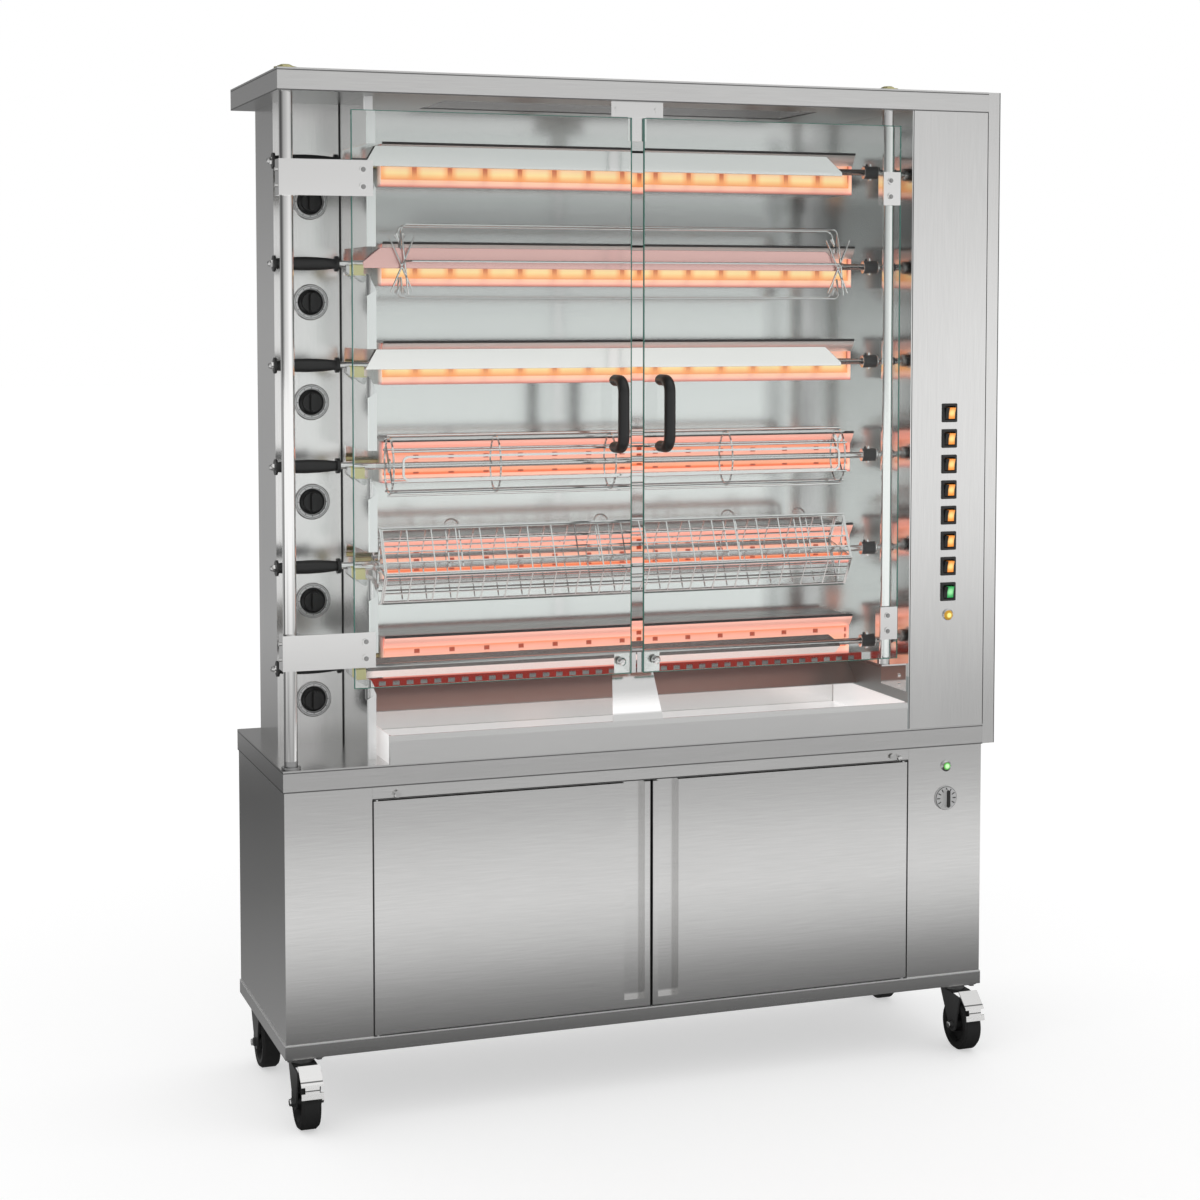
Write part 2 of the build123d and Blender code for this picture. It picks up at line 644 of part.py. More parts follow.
# Ceramic burner plates: one strip for each burner, grooved between its plates
PLATE_PITCH = (BURNER_L - 2 * BURNER_SHEET - 1) / PLATES
with BuildPart() as burner_ceramics:
    for row_z in ROWS:
        block(
            (BURNER_X[0] + BURNER_SHEET + SEAT, BURNER_X[1] - BURNER_SHEET - SEAT),
            (CERAMIC_Y, CERAMIC_Y + CERAMIC_T),
            (row_z - BURNER_HALF_H + 2 * BURNER_SHEET, row_z + BURNER_HALF_H - 2 * BURNER_SHEET),
        )
        middle = front_plane((BURNER_X[0] + BURNER_X[1]) / 2, CERAMIC_Y + 2, row_z)
        with BuildSketch(middle):
            with GridLocations(PLATE_PITCH, 1, PLATES - 1, 1):
                Rectangle(PLATE_GAP, 2 * BURNER_HALF_H)
        extrude(amount=2, mode=Mode.SUBTRACT)
write(burner_ceramics.part, "burner_ceramics")

# Switch panel, with a cut-out for each rocker and a hole for the yellow lamp
CUTOUT_W = 27.0
CUTOUT_H = 31.0
with BuildPart() as switch_panel:
    folded(
        floor_plane(SWITCH_PANEL_X, 0, OPEN_Z),
        [(0, 0), (BODY_W - SWITCH_PANEL_X, 0), (BODY_W - SWITCH_PANEL_X, FLANGE)],
        OPENING_H,
    )
    for switch_z in SWITCHES_Z:
        with BuildSketch(front_plane(SWITCH_X, SHEET, switch_z)):
            Rectangle(CUTOUT_W + 2 * SEAT, CUTOUT_H + 2 * SEAT)
        extrude(amount=SHEET, mode=Mode.SUBTRACT)
    disc(front_plane(SWITCH_X, SHEET, YELLOW_LAMP_Z), LAMP_R - 2, SHEET, mode=Mode.SUBTRACT)
write(switch_panel.part, "switch_panel")

# Folded cover on the right side, open towards the machine
COVER_INSET = 4.0
with BuildPart() as right_side_cover:
    block((BODY_W, BODY_W + COVER_W), (COVER_INSET, BODY_D - 2 * COVER_INSET), (DECK_Z, TOP_Z))
    offset(amount=-SHEET, openings=right_side_cover.faces().sort_by(Axis.X)[0])
write(right_side_cover.part, "right_side_cover")

# Posts that the glass doors turn on, the bracket under the right one and the nuts over both
BRACKET_Z = (OPEN_Z + 73.0, OPEN_Z + 128.0)
BRACKET_Y = (5.0, 112.0)
BRACKET_T = 3.0
BRACKET_X = RIGHT_POST[0] - POST_R
POST_CAP_R = 20.0
with BuildPart() as door_posts:
    left_x, left_y = LEFT_POST
    right_x, right_y = RIGHT_POST
    disc(floor_plane(left_x, left_y, OPEN_Z), POST_R, OPENING_H)
    ring(floor_plane(left_x, left_y, OPEN_Z), POST_R + 5, POST_R + SEAT, 4)
    disc(floor_plane(right_x, right_y, BRACKET_Z[1] + SEAT), POST_R, CANOPY_Z - BRACKET_Z[1] - SEAT)
    folded(
        front_plane(0, BRACKET_Y[1], 0),
        [(RIGHT_WALL_X, BRACKET_Z[0]), (RIGHT_WALL_X, BRACKET_Z[1]), (BRACKET_X, BRACKET_Z[1])],
        BRACKET_Y[1] - BRACKET_Y[0],
        thickness=BRACKET_T,
    )
    for rise in (9, 27):
        disc(side_plane(RIGHT_WALL_X - BRACKET_T, 36, BRACKET_Z[0] + rise), 4, -3)
    for post_x, post_y in (LEFT_POST, RIGHT_POST):
        disc(floor_plane(post_x, post_y, TOP_Z), POST_CAP_R, 2)
        acorn(floor_plane(post_x, post_y, TOP_Z + 2), 14, 5)
write(door_posts.part, "door_posts")

# Stop plate on the canopy with its tongue behind both panes
STOP_W = 102.0
TONGUE_W = 36.0
TONGUE_DROP = 72.0
STOP_Y = GLASS_Y + GLASS_T + RUN
with BuildPart() as door_stops:
    block(
        (PANES_MIDDLE - STOP_W / 2, PANES_MIDDLE + STOP_W / 2),
        (STOP_Y - SHEET, STOP_Y),
        (GLASS_Z[1] + SHEET, CANOPY_Z),
    )
    block(
        (PANES_MIDDLE - TONGUE_W / 2, PANES_MIDDLE + TONGUE_W / 2),
        (STOP_Y, STOP_Y + SHEET),
        (CANOPY_Z - TONGUE_DROP, CANOPY_Z),
    )
    for side in (-1, 1):
        disc(front_plane(PANES_MIDDLE + side * (STOP_W / 2 - 12), STOP_Y - SHEET, CANOPY_Z - 14), 5, 3)
write(door_stops.part, "door_stops")

# Bearing cradles outside the left cavity wall, one under each spit's shaft
CRADLE_X = (143.0, 165.0)
CRADLE_HALF = 13.0
with BuildPart() as spit_bearings:
    for row_z in ROWS:
        slab(
            front_plane(0, SPIT_Y + CRADLE_HALF, row_z),
            [
                (CRADLE_X[0], -3),
                (CRADLE_X[1], -3),
                (LEFT_WALL_X, -3),
                (LEFT_WALL_X, -34),
                (CRADLE_X[1] - 6, -28),
                (CRADLE_X[0], -14),
            ],
            2 * CRADLE_HALF,
        )
        groove = side_plane(CRADLE_X[0], SPIT_Y, row_z)
        disc(groove, SHAFT_R + PIN_RUN, LEFT_WALL_X - CRADLE_X[0], mode=Mode.SUBTRACT)
write(spit_bearings.part, "spit_bearings")

# Rocker switch housings, one in each cut-out
HOUSING_PROUD = 3.0
HOUSING_DEPTH = 24.0
WINDOW_W = 22.0
WINDOW_H = 27.0
ROCKER_AXIS_Y = 5.0
TRUNNION_R = 1.5
TRUNNION_L = 1.5
with BuildPart() as rocker_housings:
    for switch_z in SWITCHES_Z:
        with BuildSketch(front_plane(SWITCH_X, 0, switch_z)) as bezel:
            RectangleRounded(SWITCH_W, SWITCH_H, 2)
        extrude(bezel.sketch, amount=HOUSING_PROUD, taper=15)
        with BuildSketch(front_plane(SWITCH_X, 0, switch_z)) as barrel:
            Rectangle(CUTOUT_W, CUTOUT_H)
        extrude(barrel.sketch, amount=-HOUSING_DEPTH)
        with BuildSketch(front_plane(SWITCH_X, -HOUSING_PROUD, switch_z)) as window:
            Rectangle(WINDOW_W, WINDOW_H)
        extrude(window.sketch, amount=-(HOUSING_PROUD + 14), mode=Mode.SUBTRACT)
        pivot = side_plane(SWITCH_X - WINDOW_W / 2 - TRUNNION_L - RUN, ROCKER_AXIS_Y, switch_z)
        disc(pivot, TRUNNION_R + PIN_RUN, WINDOW_W + 2 * (TRUNNION_L + RUN), mode=Mode.SUBTRACT)
write(rocker_housings.part, "rocker_housings")

# Indicator lamps: a domed lens on a threaded neck
with BuildPart() as indicator_lamps:
    for lamp_z, face_y in ((YELLOW_LAMP_Z, 0.0), (GREEN_LAMP_Z, LIP)):
        turned(
            front_plane(SWITCH_X, face_y, lamp_z),
            [
                (0, -20),
                (LAMP_R - 2.2, -20),
                (LAMP_R - 2.2, 0),
                (LAMP_R, 0),
                (LAMP_R, 2.5),
                (LAMP_R - 2, 4),
                (LAMP_R * 0.6, 6.5),
                (0, 8),
            ],
        )
write(indicator_lamps.part, "indicator_lamps")

# Gear motors on the right cavity wall, one for each spit
MOTOR_FACE_X = RIGHT_WALL_X + SHEET
with BuildPart() as gear_motors:
    for row_z in ROWS:
        with BuildSketch(side_plane(MOTOR_FACE_X, SPIT_Y, row_z)) as gearbox:
            RectangleRounded(64, 84, 10)
        extrude(gearbox.sketch, amount=46)
        disc(side_plane(MOTOR_FACE_X + 46, SPIT_Y, row_z + 10), 30, 62)
        bore = side_plane(MOTOR_FACE_X, SPIT_Y, row_z)
        disc(bore, SHAFT_R + RUN, MOTOR_SHAFT_DEPTH, mode=Mode.SUBTRACT)
write(gear_motors.part, "gear_motors")

# Gas manifold: the riser, a tap behind each knob and a bent feed pipe to each burner
RISER_R = 11.0
FEED_R = 5.0
RISER_Y = VALVE_Y + 45.0
TAP = (14.0, 13.0)
LOCKNUT_R = 16.0
LOCKNUT_T = 6.0
with BuildPart() as gas_manifold:
    disc(floor_plane(INLET_X, RISER_Y, INLET_Z - RISER_R), RISER_R, KNOBS[0] - INLET_Z + 3 * RISER_R)
    disc(front_plane(INLET_X, CANOPY_D - 2, INLET_Z), INLET_R, CANOPY_D - 2 - RISER_Y)
    with BuildSketch(front_plane(INLET_X, BACK_COVER_Y + SHEET + SEAT + LOCKNUT_T, INLET_Z)) as locknut:
        RegularPolygon(LOCKNUT_R, 6)
    extrude(locknut.sketch, amount=LOCKNUT_T)
    for knob_z, row_z in zip(KNOBS, ROWS):
        tap_front = BAY_BACK_Y + SHEET + 8
        block(
            (KNOB_X - TAP[0], KNOB_X + TAP[0]),
            (tap_front, VALVE_Y + TAP[1]),
            (knob_z - TAP[1], knob_z + TAP[1]),
        )
        disc(front_plane(KNOB_X, RISER_Y, knob_z), FEED_R + 2, RISER_Y - VALVE_Y)
        disc(front_plane(KNOB_X, tap_front + 12, knob_z), SPINDLE_R + PIN_RUN, 12, mode=Mode.SUBTRACT)
        with BuildLine() as route:
            FilletPolyline(
                at(KNOB_X, VALVE_Y, knob_z),
                at(KNOB_X, VALVE_Y, row_z),
                at(BURNER_X[0], VALVE_Y, row_z),
                radius=20,
            )
        with BuildSketch(Plane(origin=route.line @ 0, z_dir=route.line % 0)) as bore:
            Circle(FEED_R)
        sweep(bore.sketch, path=route.line)
write(gas_manifold.part, "gas_manifold")


def glass_door(side, pane_x, post, hinge_plate_x, hinge_block_x, hinge_screw_x, free_x):
    """One glass door: the pane, its two hinges and catch plate, and its bow handle."""
    inward = 1 if free_x > post[0] else -1
    handle_x = free_x - inward * HANDLE_INSET
    back = GLASS_Y + GLASS_T
    hinge_screws = [low + offset_z for low in HINGE_Z for offset_z in HINGE_SCREWS]
    stud_x = free_x - inward * 22
    stud_z = GLASS_Z[0] + 24
    with BuildPart() as pane:
        block(pane_x, (GLASS_Y, back), GLASS_Z)
        chamfer(pane.edges().filter_by(Axis.Y), 2)
        for screw_z in hinge_screws:
            disc(front_plane(hinge_screw_x, back, screw_z), 5, GLASS_T, mode=Mode.SUBTRACT)
        for boss_z in HANDLE_Z:
            disc(front_plane(handle_x, back, boss_z), 5, GLASS_T, mode=Mode.SUBTRACT)
        disc(front_plane(stud_x, back, stud_z), 5, GLASS_T, mode=Mode.SUBTRACT)
    write(pane.part, f"glass_pane_{side}")

    with BuildPart() as fittings:
        for low in HINGE_Z:
            block(hinge_plate_x, (SEAT, GLASS_Y), (low, low + HINGE_H))
            block(hinge_block_x, (back, post[1] + POST_R + 4), (low, low + HINGE_H))
            block(
                (max(hinge_block_x[0], hinge_plate_x[0]), min(hinge_block_x[1], hinge_plate_x[1])),
                (GLASS_Y, back) if side == "left" else (back, back + 1),
                (low, low + HINGE_H),
            )
            disc(floor_plane(post[0], post[1], low), POST_R + PIN_RUN, HINGE_H, mode=Mode.SUBTRACT)
            for offset_z in HINGE_SCREWS:
                if side == "left":
                    disc(side_plane(hinge_block_x[0], post[1] + 6, low + offset_z), 3.5, -3)
        for screw_z in hinge_screws:
            disc(front_plane(hinge_screw_x, back, screw_z), SHAFT_R - 2, GLASS_T)
            disc(front_plane(hinge_screw_x, SEAT, screw_z), 7, 2.5)
            if side == "left":
                disc(front_plane(hinge_screw_x, back + 3, screw_z), 9, 3)
        # catch plate behind the pane's lower free corner, with its ball stud in front
        catch = sorted((free_x - inward * HANDLE_INSET, free_x + inward * 11.0))
        block(catch, (back, back + SHEET), (GLASS_Z[0], GLASS_Z[0] + 38))
        stud = front_plane(stud_x, GLASS_Y, stud_z)
        shank = [(0, -GLASS_T), (4, -GLASS_T), (4, 0), (7, 0), (7, 3)]
        turned(stud, shank + [(5, 4), (8, 7), (8, 9), (5, 13), (0, 14)])
    write(fittings.part, f"glass_fittings_{side}")

    with BuildPart() as handle:
        low, high = HANDLE_Z
        grip_y = HANDLE_R - HANDLE_OUT
        with BuildLine() as bow:
            FilletPolyline(
                at(handle_x, GLASS_Y, high),
                at(handle_x, grip_y, high),
                at(handle_x, grip_y, low),
                at(handle_x, GLASS_Y, low),
                radius=22,
            )
        with BuildSketch(Plane(origin=bow.line @ 0, z_dir=bow.line % 0)) as section:
            Circle(HANDLE_R)
        sweep(section.sketch, path=bow.line)
        for boss_z in HANDLE_Z:
            disc(front_plane(handle_x, back, boss_z), 4, GLASS_T)
            disc(front_plane(handle_x, back + 4, boss_z), 9, 4)
    write(handle.part, f"glass_handle_{side}")


glass_door(
    "left",
    LEFT_PANE,
    LEFT_POST,
    hinge_plate_x=(LEFT_POST[0] - 17.5, LEFT_PANE[0] + 38.0),
    hinge_block_x=(LEFT_POST[0] - HINGE_BLOCK_W / 2, LEFT_POST[0] + HINGE_BLOCK_W / 2),
    hinge_screw_x=LEFT_PANE[0] + 20.0,
    free_x=LEFT_PANE[1],
)
glass_door(
    "right",
    RIGHT_PANE,
    RIGHT_POST,
    hinge_plate_x=(RIGHT_POST[0] - 18.0, RIGHT_POST[0] + 18.0),
    hinge_block_x=(RIGHT_POST[0] - HINGE_BLOCK_W / 2, RIGHT_POST[0] + HINGE_BLOCK_W / 2),
    hinge_screw_x=RIGHT_POST[0] - 2.0,
    free_x=RIGHT_PANE[0],
)

# Drip tray: a long folded pan with a hemmed front and the splash tongue standing in its middle
TONGUE_TOP = (30.0, GLASS_Z[0] - 4.0)
TONGUE_HALF_TOP = 41.0
TONGUE_HALF_FOOT = 51.0
with BuildPart() as drip_tray:
    tray_z = (OPEN_Z + RUN, OPEN_Z + TRAY_H)
    block(TRAY_X, TRAY_Y, tray_z)
    offset(amount=-SHEET, openings=drip_tray.faces().sort_by(Axis.Z)[-1])
    slab(
        side_plane(TRAY_X[0], TRAY_Y[0], tray_z[1]),
        [(0, 0), (SHEET, 0), (0, -HEM), (-SHEET, -HEM)],
        TRAY_X[1] - TRAY_X[0],
    )
    foot_y = TRAY_Y[0] + SHEET
    lean = Plane(
        origin=at(PANES_MIDDLE, foot_y, tray_z[1] - HEM),
        x_dir=(1, 0, 0),
        z_dir=(0, tray_z[1] - HEM - TONGUE_TOP[1], TONGUE_TOP[0] - foot_y),
    )
    tongue_l = Vector(TONGUE_TOP[0] - foot_y, TONGUE_TOP[1] - tray_z[1] + HEM).length
    block(
        (PANES_MIDDLE - TONGUE_HALF_FOOT, PANES_MIDDLE + TONGUE_HALF_FOOT),
        (foot_y, foot_y + BURNER_SHEET),
        (tray_z[1] - 2.5 * HEM, tray_z[1] - HEM),
    )
    with BuildSketch(lean) as tongue:
        with BuildLine():
            Polyline(
                (-TONGUE_HALF_FOOT, 0),
                (TONGUE_HALF_FOOT, 0),
                (TONGUE_HALF_TOP, tongue_l),
                (-TONGUE_HALF_TOP, tongue_l),
                close=True,
            )
        make_face()
    extrude(tongue.sketch, amount=-BURNER_SHEET)
write(drip_tray.part, "drip_tray")

# Gas knobs: a skirted round knob with a grip bar, and the spindle that reaches the tap
for number, knob_z in enumerate(KNOBS, start=1):
    with BuildPart() as knob:
        seat = front_plane(KNOB_X, BAY_BACK_Y - SEAT, knob_z)
        turned(
            seat,
            [(0, 0), (KNOB_R, 0), (KNOB_R, 3), (KNOB_R - 3, 6), (KNOB_R - 4, 12), (0, 12)],
        )
        with BuildSketch(front_plane(KNOB_X, BAY_BACK_Y - 11, knob_z)) as bar:
            SlotOverall(2 * KNOB_R - 8, 12, rotation=90)
        extrude(bar.sketch, amount=KNOB_L - 11, taper=8)
        disc(seat, SPINDLE_R, -(SHEET + 12 + SEAT))
    write(knob.part, f"gas_knob_{number}")

# Thermostat dial: a flat disc with a raised bar, on its spindle
with BuildPart() as thermostat_dial:
    seat = front_plane(SWITCH_X, LIP - SEAT, DIAL_Z)
    turned(seat, [(0, 0), (DIAL_R, 0), (DIAL_R, 2), (DIAL_R - 1.5, 4), (0, 4)])
    with BuildSketch(front_plane(SWITCH_X, LIP - 4, DIAL_Z)) as bar:
        SlotOverall(1.5 * DIAL_R, 9, rotation=90)
    extrude(bar.sketch, amount=10, taper=6)
    disc(seat, SPINDLE_R, -(SHEET + 12))
write(thermostat_dial.part, "thermostat_dial")

# Switch rockers: a shallow V face that stands proud at one end, on two round trunnions
ROCKER_HALF = WINDOW_H / 2 - RUN
for number, switch_z in enumerate(SWITCHES_Z, start=1):
    with BuildPart() as rocker:
        slab(
            side_plane(SWITCH_X - WINDOW_W / 2 + RUN, 0, switch_z),
            [
                (-HOUSING_PROUD - 1, -ROCKER_HALF + 1.5),
                (-HOUSING_PROUD - 2, 0),
                (-HOUSING_PROUD - 6, ROCKER_HALF - 3),
                (ROCKER_AXIS_Y - 3, ROCKER_HALF - 3),
                (ROCKER_AXIS_Y + 4, 3),
                (ROCKER_AXIS_Y + 4, -3),
                (ROCKER_AXIS_Y - 3, -ROCKER_HALF + 1.5),
            ],
            WINDOW_W - 2 * RUN,
        )
        pivot = side_plane(SWITCH_X - WINDOW_W / 2 - TRUNNION_L, ROCKER_AXIS_Y, switch_z)
        disc(pivot, TRUNNION_R, WINDOW_W + 2 * TRUNNION_L)
    write(rocker.part, f"rocker_{number}")


def angle_section(width):
    """The outline of the spit's angle section, its two legs wrapped round one side of the shaft."""
    apex = (SHAFT_R + BLADE_T + SEAT) * 2**0.5
    inner = (SHAFT_R + SEAT) * 2**0.5
    reach = width * 2**-0.5
    return [
        (apex, 0),
        (apex - reach, reach),
        (inner - reach, reach),
        (inner, 0),
        (inner - reach, -reach),
        (apex - reach, -reach),
    ]


def spit_base(row_z, blade_turn, bladed=True):
    """What every spit has: dome nut, grip, shaft, blade and the coupling at the motor."""
    nut = side_plane(GRIP_X - SEAT, SPIT_Y, row_z)
    back_nut = Plane(origin=nut.origin, x_dir=nut.x_dir, z_dir=-nut.z_dir)
    acorn(back_nut, 7, GRIP_X - 1)
    grip = side_plane(GRIP_X, SPIT_Y, row_z)
    with BuildSketch(Plane(origin=grip.origin, x_dir=(1, 0, 0), z_dir=(0, -1, 0))) as grip_half:
        with BuildLine():
            Polyline((0, 0), (0, GRIP_R + 1.5), (4, GRIP_R + 1.5), (4, GRIP_R - 4))
            Spline(
                (4, GRIP_R - 4),
                (GRIP_L * 0.45, GRIP_R - 0.5),
                (GRIP_L - 6, GRIP_R - 4),
            )
            Polyline(
                (GRIP_L - 6, GRIP_R - 4),
                (GRIP_L - 6, GRIP_R + 1),
                (GRIP_L, GRIP_R + 1),
                (GRIP_L, 0),
                (0, 0),
            )
        make_face()
    revolve(grip_half.sketch, axis=Axis(grip.origin, grip.z_dir))
    shaft_x = GRIP_X + GRIP_L + SEAT
    shaft_end = COUPLING_X + COUPLING_L / 2 - SEAT
    disc(side_plane(shaft_x, SPIT_Y, row_z), SHAFT_R, shaft_end - shaft_x)
    if bladed:
        start_x = LEFT_WALL_X + RUN
        turn = (0, cos(radians(blade_turn)), sin(radians(blade_turn)))
        start = Plane(origin=at(start_x, SPIT_Y, row_z), x_dir=turn, z_dir=(1, 0, 0))
        slab(start, angle_section(BLADE_LEG), BLADE_END_X - start_x)
        far = Plane(origin=at(BLADE_END_X, SPIT_Y, row_z), x_dir=turn, z_dir=(1, 0, 0))
        reach = BLADE_LEG * 2**-0.5
        for flip in (1, -1):
            trim = Plane(origin=far.origin, x_dir=far.z_dir * -1, z_dir=far.x_dir)
            with BuildSketch(trim.offset(-3 * BLADE_LEG)) as corner:
                with BuildLine():
                    Polyline(
                        (-1, flip * (reach + 1)),
                        (-1, flip * SHAFT_R),
                        (BLADE_TAPER, flip * (reach + 1)),
                        close=True,
                    )
                make_face()
            extrude(corner.sketch, amount=6 * BLADE_LEG, mode=Mode.SUBTRACT)
    coupling = side_plane(COUPLING_X, SPIT_Y, row_z)
    disc(coupling, COUPLING_R, COUPLING_L)
    disc(coupling, SHAFT_R + PIN_RUN, COUPLING_L / 2, mode=Mode.SUBTRACT)
    disc(side_plane(shaft_end - 10, SPIT_Y, row_z), SHAFT_R, 10)
    motor_end = RIGHT_WALL_X + SHEET + MOTOR_SHAFT_DEPTH - SEAT
    motor_start = COUPLING_X + COUPLING_L
    disc(side_plane(motor_start, SPIT_Y, row_z), SHAFT_R, motor_end - motor_start)
    locking_pin = floor_plane(COUPLING_X + 8, SPIT_Y, row_z + COUPLING_R - 1)
    disc(locking_pin, 2.5, 5)


for number, blade_turn in ((1, 20), (3, 0), (6, 20)):
    with BuildPart() as spit:
        spit_base(ROWS[number - 1], blade_turn)
    write(spit.part, f"spit_{number}")

# Fork spit: five long wires between two hubs that clamp on the blade
HUB_R = 27.0
HUB_T = 7.0
FORK_WIRES = [(74.0, 105.0), (72.0, 72.0), (66.0, 176.0), (68.0, 245.0), (66.0, 295.0)]
BLADE_SWEEP_R = 18.6


def wing_screw(x, row_z, foot, up=1):
    """A screw standing on a hub, or hanging under it, with its two bent wings."""
    disc(floor_plane(x, SPIT_Y, row_z + up * foot), 2.5, up * 20)
    wings = [(0, 10), (-11, 26), (-5, 30), (0, 20), (5, 30), (11, 26)]
    slab(front_plane(x, SPIT_Y + 2, row_z + up * foot), [(side, up * out) for side, out in wings], 4)


with BuildPart() as fork_spit:
    spit_base(ROWS[1], -50)
    for hub_x in FORK_HUBS_X:
        ring(side_plane(hub_x, SPIT_Y, ROWS[1]), HUB_R, BLADE_SWEEP_R, HUB_T)
        for up in (1, -1):
            wing_screw(hub_x + HUB_T / 2, ROWS[1], HUB_R - 1, up)
fork_wires = []
for reach, angle in FORK_WIRES:
    out = Vector(0, cos(radians(angle)), sin(radians(angle)))
    near_hub = Vector(*at(FORK_HUBS_X[0] + HUB_T / 2, SPIT_Y, ROWS[1]))
    far_hub = Vector(*at(FORK_HUBS_X[1] + HUB_T / 2, SPIT_Y, ROWS[1]))
    with BuildPart() as fork_wire:
        with BuildLine() as route:
            FilletPolyline(
                near_hub + out * (HUB_R + SEAT),
                near_hub + out * reach,
                far_hub + out * reach,
                far_hub + out * (HUB_R + SEAT),
                radius=12,
            )
        with BuildSketch(Plane(origin=route.line @ 0, x_dir=(1, 0, 0), z_dir=route.line % 0)) as bar:
            RegularPolygon(WIRE_R, 6)
        sweep(bar.sketch, path=route.line)
    fork_wires.append(fork_wire.part)
write(Compound(children=[fork_spit.part, *fork_wires]), "spit_2")

# Round basket spit: straight wires round flat rings, with spoked ends on the shaft
CAGE_WIRES = 12
CAGE_RINGS = (416.0, 641.0, 877.0)
CAGE_ENDS = (CAGE_X[0] + 2, CAGE_X[1] - 6)
RING_R = CAGE_R - WIRE_R - SEAT
RING_W = 3.5
RING_T = 3.0
with BuildPart() as cage_rings:
    for ring_x in CAGE_RINGS:
        ring(side_plane(ring_x, SPIT_Y, ROWS[3]), RING_R, RING_R - RING_W, RING_T)
    for end_x in CAGE_ENDS:
        with BuildSketch(side_plane(end_x, SPIT_Y, ROWS[3])) as wheel_end:
            Circle(RING_R)
            Circle(RING_R - RING_W, mode=Mode.SUBTRACT)
            with PolarLocations(0, 2, start_angle=45):
                Rectangle(2 * RING_R - RING_W, RING_T + 1)
            Circle(SHAFT_R + 7)
            Circle(SHAFT_R + SEAT, mode=Mode.SUBTRACT)
        extrude(wheel_end.sketch, amount=RING_T)
    wing_screw(CAGE_ENDS[1] + RING_T / 2, ROWS[3], SHAFT_R + 6)
# the lid's frame, a bent wire that lies against the front of the cage
LID_Z = (-26.0, 20.0)
LID_INSET = 18.0
with BuildPart() as lid_frame:
    lid_w = CAGE_X[1] - CAGE_X[0] - 2 * LID_INSET
    lid_h = LID_Z[1] - LID_Z[0]
    lid_y = SPIT_Y - CAGE_R - WIRE_R - SEAT
    lid_middle = front_plane(
        (CAGE_X[0] + CAGE_X[1]) / 2,
        lid_y,
        ROWS[3] + (LID_Z[0] + LID_Z[1]) / 2,
    )
    with BuildSketch(lid_middle) as lid:
        RectangleRounded(lid_w, lid_h, 12)
        RectangleRounded(lid_w - 4 * WIRE_R, lid_h - 4 * WIRE_R, 12 - 2 * WIRE_R, mode=Mode.SUBTRACT)
    extrude(lid.sketch, amount=2 * WIRE_R)
with BuildPart() as cage_spit:
    spit_base(ROWS[3], 0, bladed=False)
with BuildPart() as cage_wires:
    with BuildSketch(side_plane(CAGE_X[0], SPIT_Y, ROWS[3])) as bars:
        with PolarLocations(CAGE_R, CAGE_WIRES):
            RegularPolygon(WIRE_R, 6)
    extrude(bars.sketch, amount=CAGE_X[1] - CAGE_X[0])
write(Compound(children=[cage_spit.part, cage_rings.part, cage_wires.part, lid_frame.part]), "spit_4")

# Flat basket spit: six panels of welded mesh between the corner rods of a long hexagon
HEX = [(-20.0, 70.0), (-78.0, -12.0), (-30.0, -66.0), (20.0, -70.0), (78.0, 12.0), (30.0, 66.0)]
MESH_ROWS = (4, 3, 2, 4, 3, 2)
FRAME_INNER = 0.94  # the end frames' inner outline, as a share of the outer one
COLLAR_R = SHAFT_R + 7
MESH_L = MESH_X[1] - MESH_X[0]
CORNER_R = 2.5
with BuildPart() as basket_spit:
    spit_base(ROWS[4], 0, bladed=False)
with BuildPart() as corner_rods:
    with BuildSketch(side_plane(MESH_X[0], SPIT_Y, ROWS[4])) as rods:
        with Locations(*HEX):
            RegularPolygon(CORNER_R, 6)
    extrude(rods.sketch, amount=MESH_L)
CLIPS_X = (0.145, 0.46, 0.74, 0.9)  # shares of the basket's length
CLIP_W = 28.0
CLIP_L = 118.0
CLIP_RISE = 20.0  # how far a clip's bow stands past the basket's top rod
nets = []
clips = []
for (start_y, start_z), (end_y, end_z), rows in zip(HEX, HEX[1:] + HEX[:1], MESH_ROWS):
    edge = Vector(0, end_y - start_y, end_z - start_z)
    corner = Vector(*at(MESH_X[0], SPIT_Y + start_y, ROWS[4] + start_z))
    face = Plane(origin=corner, x_dir=(1, 0, 0), z_dir=Vector(1, 0, 0).cross(edge.normalized()))
    height = edge.length - 2 * CORNER_R
    bay = (MESH_L - MESH_WIRE) / MESH_BAYS
    step = (height - MESH_WIRE) / rows
    with BuildPart() as net:
        with BuildSketch(face.offset(-MESH_WIRE / 2)) as holed:
            with Locations((MESH_L / 2, edge.length / 2)):
                Rectangle(MESH_L, height - 2 * SEAT)
                with GridLocations(bay, step, MESH_BAYS, rows):
                    Rectangle(bay - MESH_WIRE, step - MESH_WIRE, mode=Mode.SUBTRACT)
        extrude(holed.sketch, amount=MESH_WIRE)
    nets.append(net.part)
    if not clips:
        # hairpin clips that hold the lid, laid down the basket's upper front
        clip_foot = CLIP_L - CLIP_RISE
        with BuildPart() as hairpins:
            with BuildSketch(face.offset(CORNER_R + SEAT)) as bows:
                with Locations(*[(MESH_L * share, clip_foot - CLIP_L / 2) for share in CLIPS_X]):
                    SlotOverall(CLIP_L, CLIP_W, rotation=90)
                    SlotOverall(
                        CLIP_L - 2 * MESH_WIRE,
                        CLIP_W - 2 * MESH_WIRE,
                        rotation=90,
                        mode=Mode.SUBTRACT,
                    )
                with Locations(*[(MESH_L * share, clip_foot) for share in CLIPS_X]):
                    Rectangle(CLIP_W + 1, CLIP_W, mode=Mode.SUBTRACT)
            extrude(bows.sketch, amount=MESH_WIRE)
        clips.append(hairpins.part)
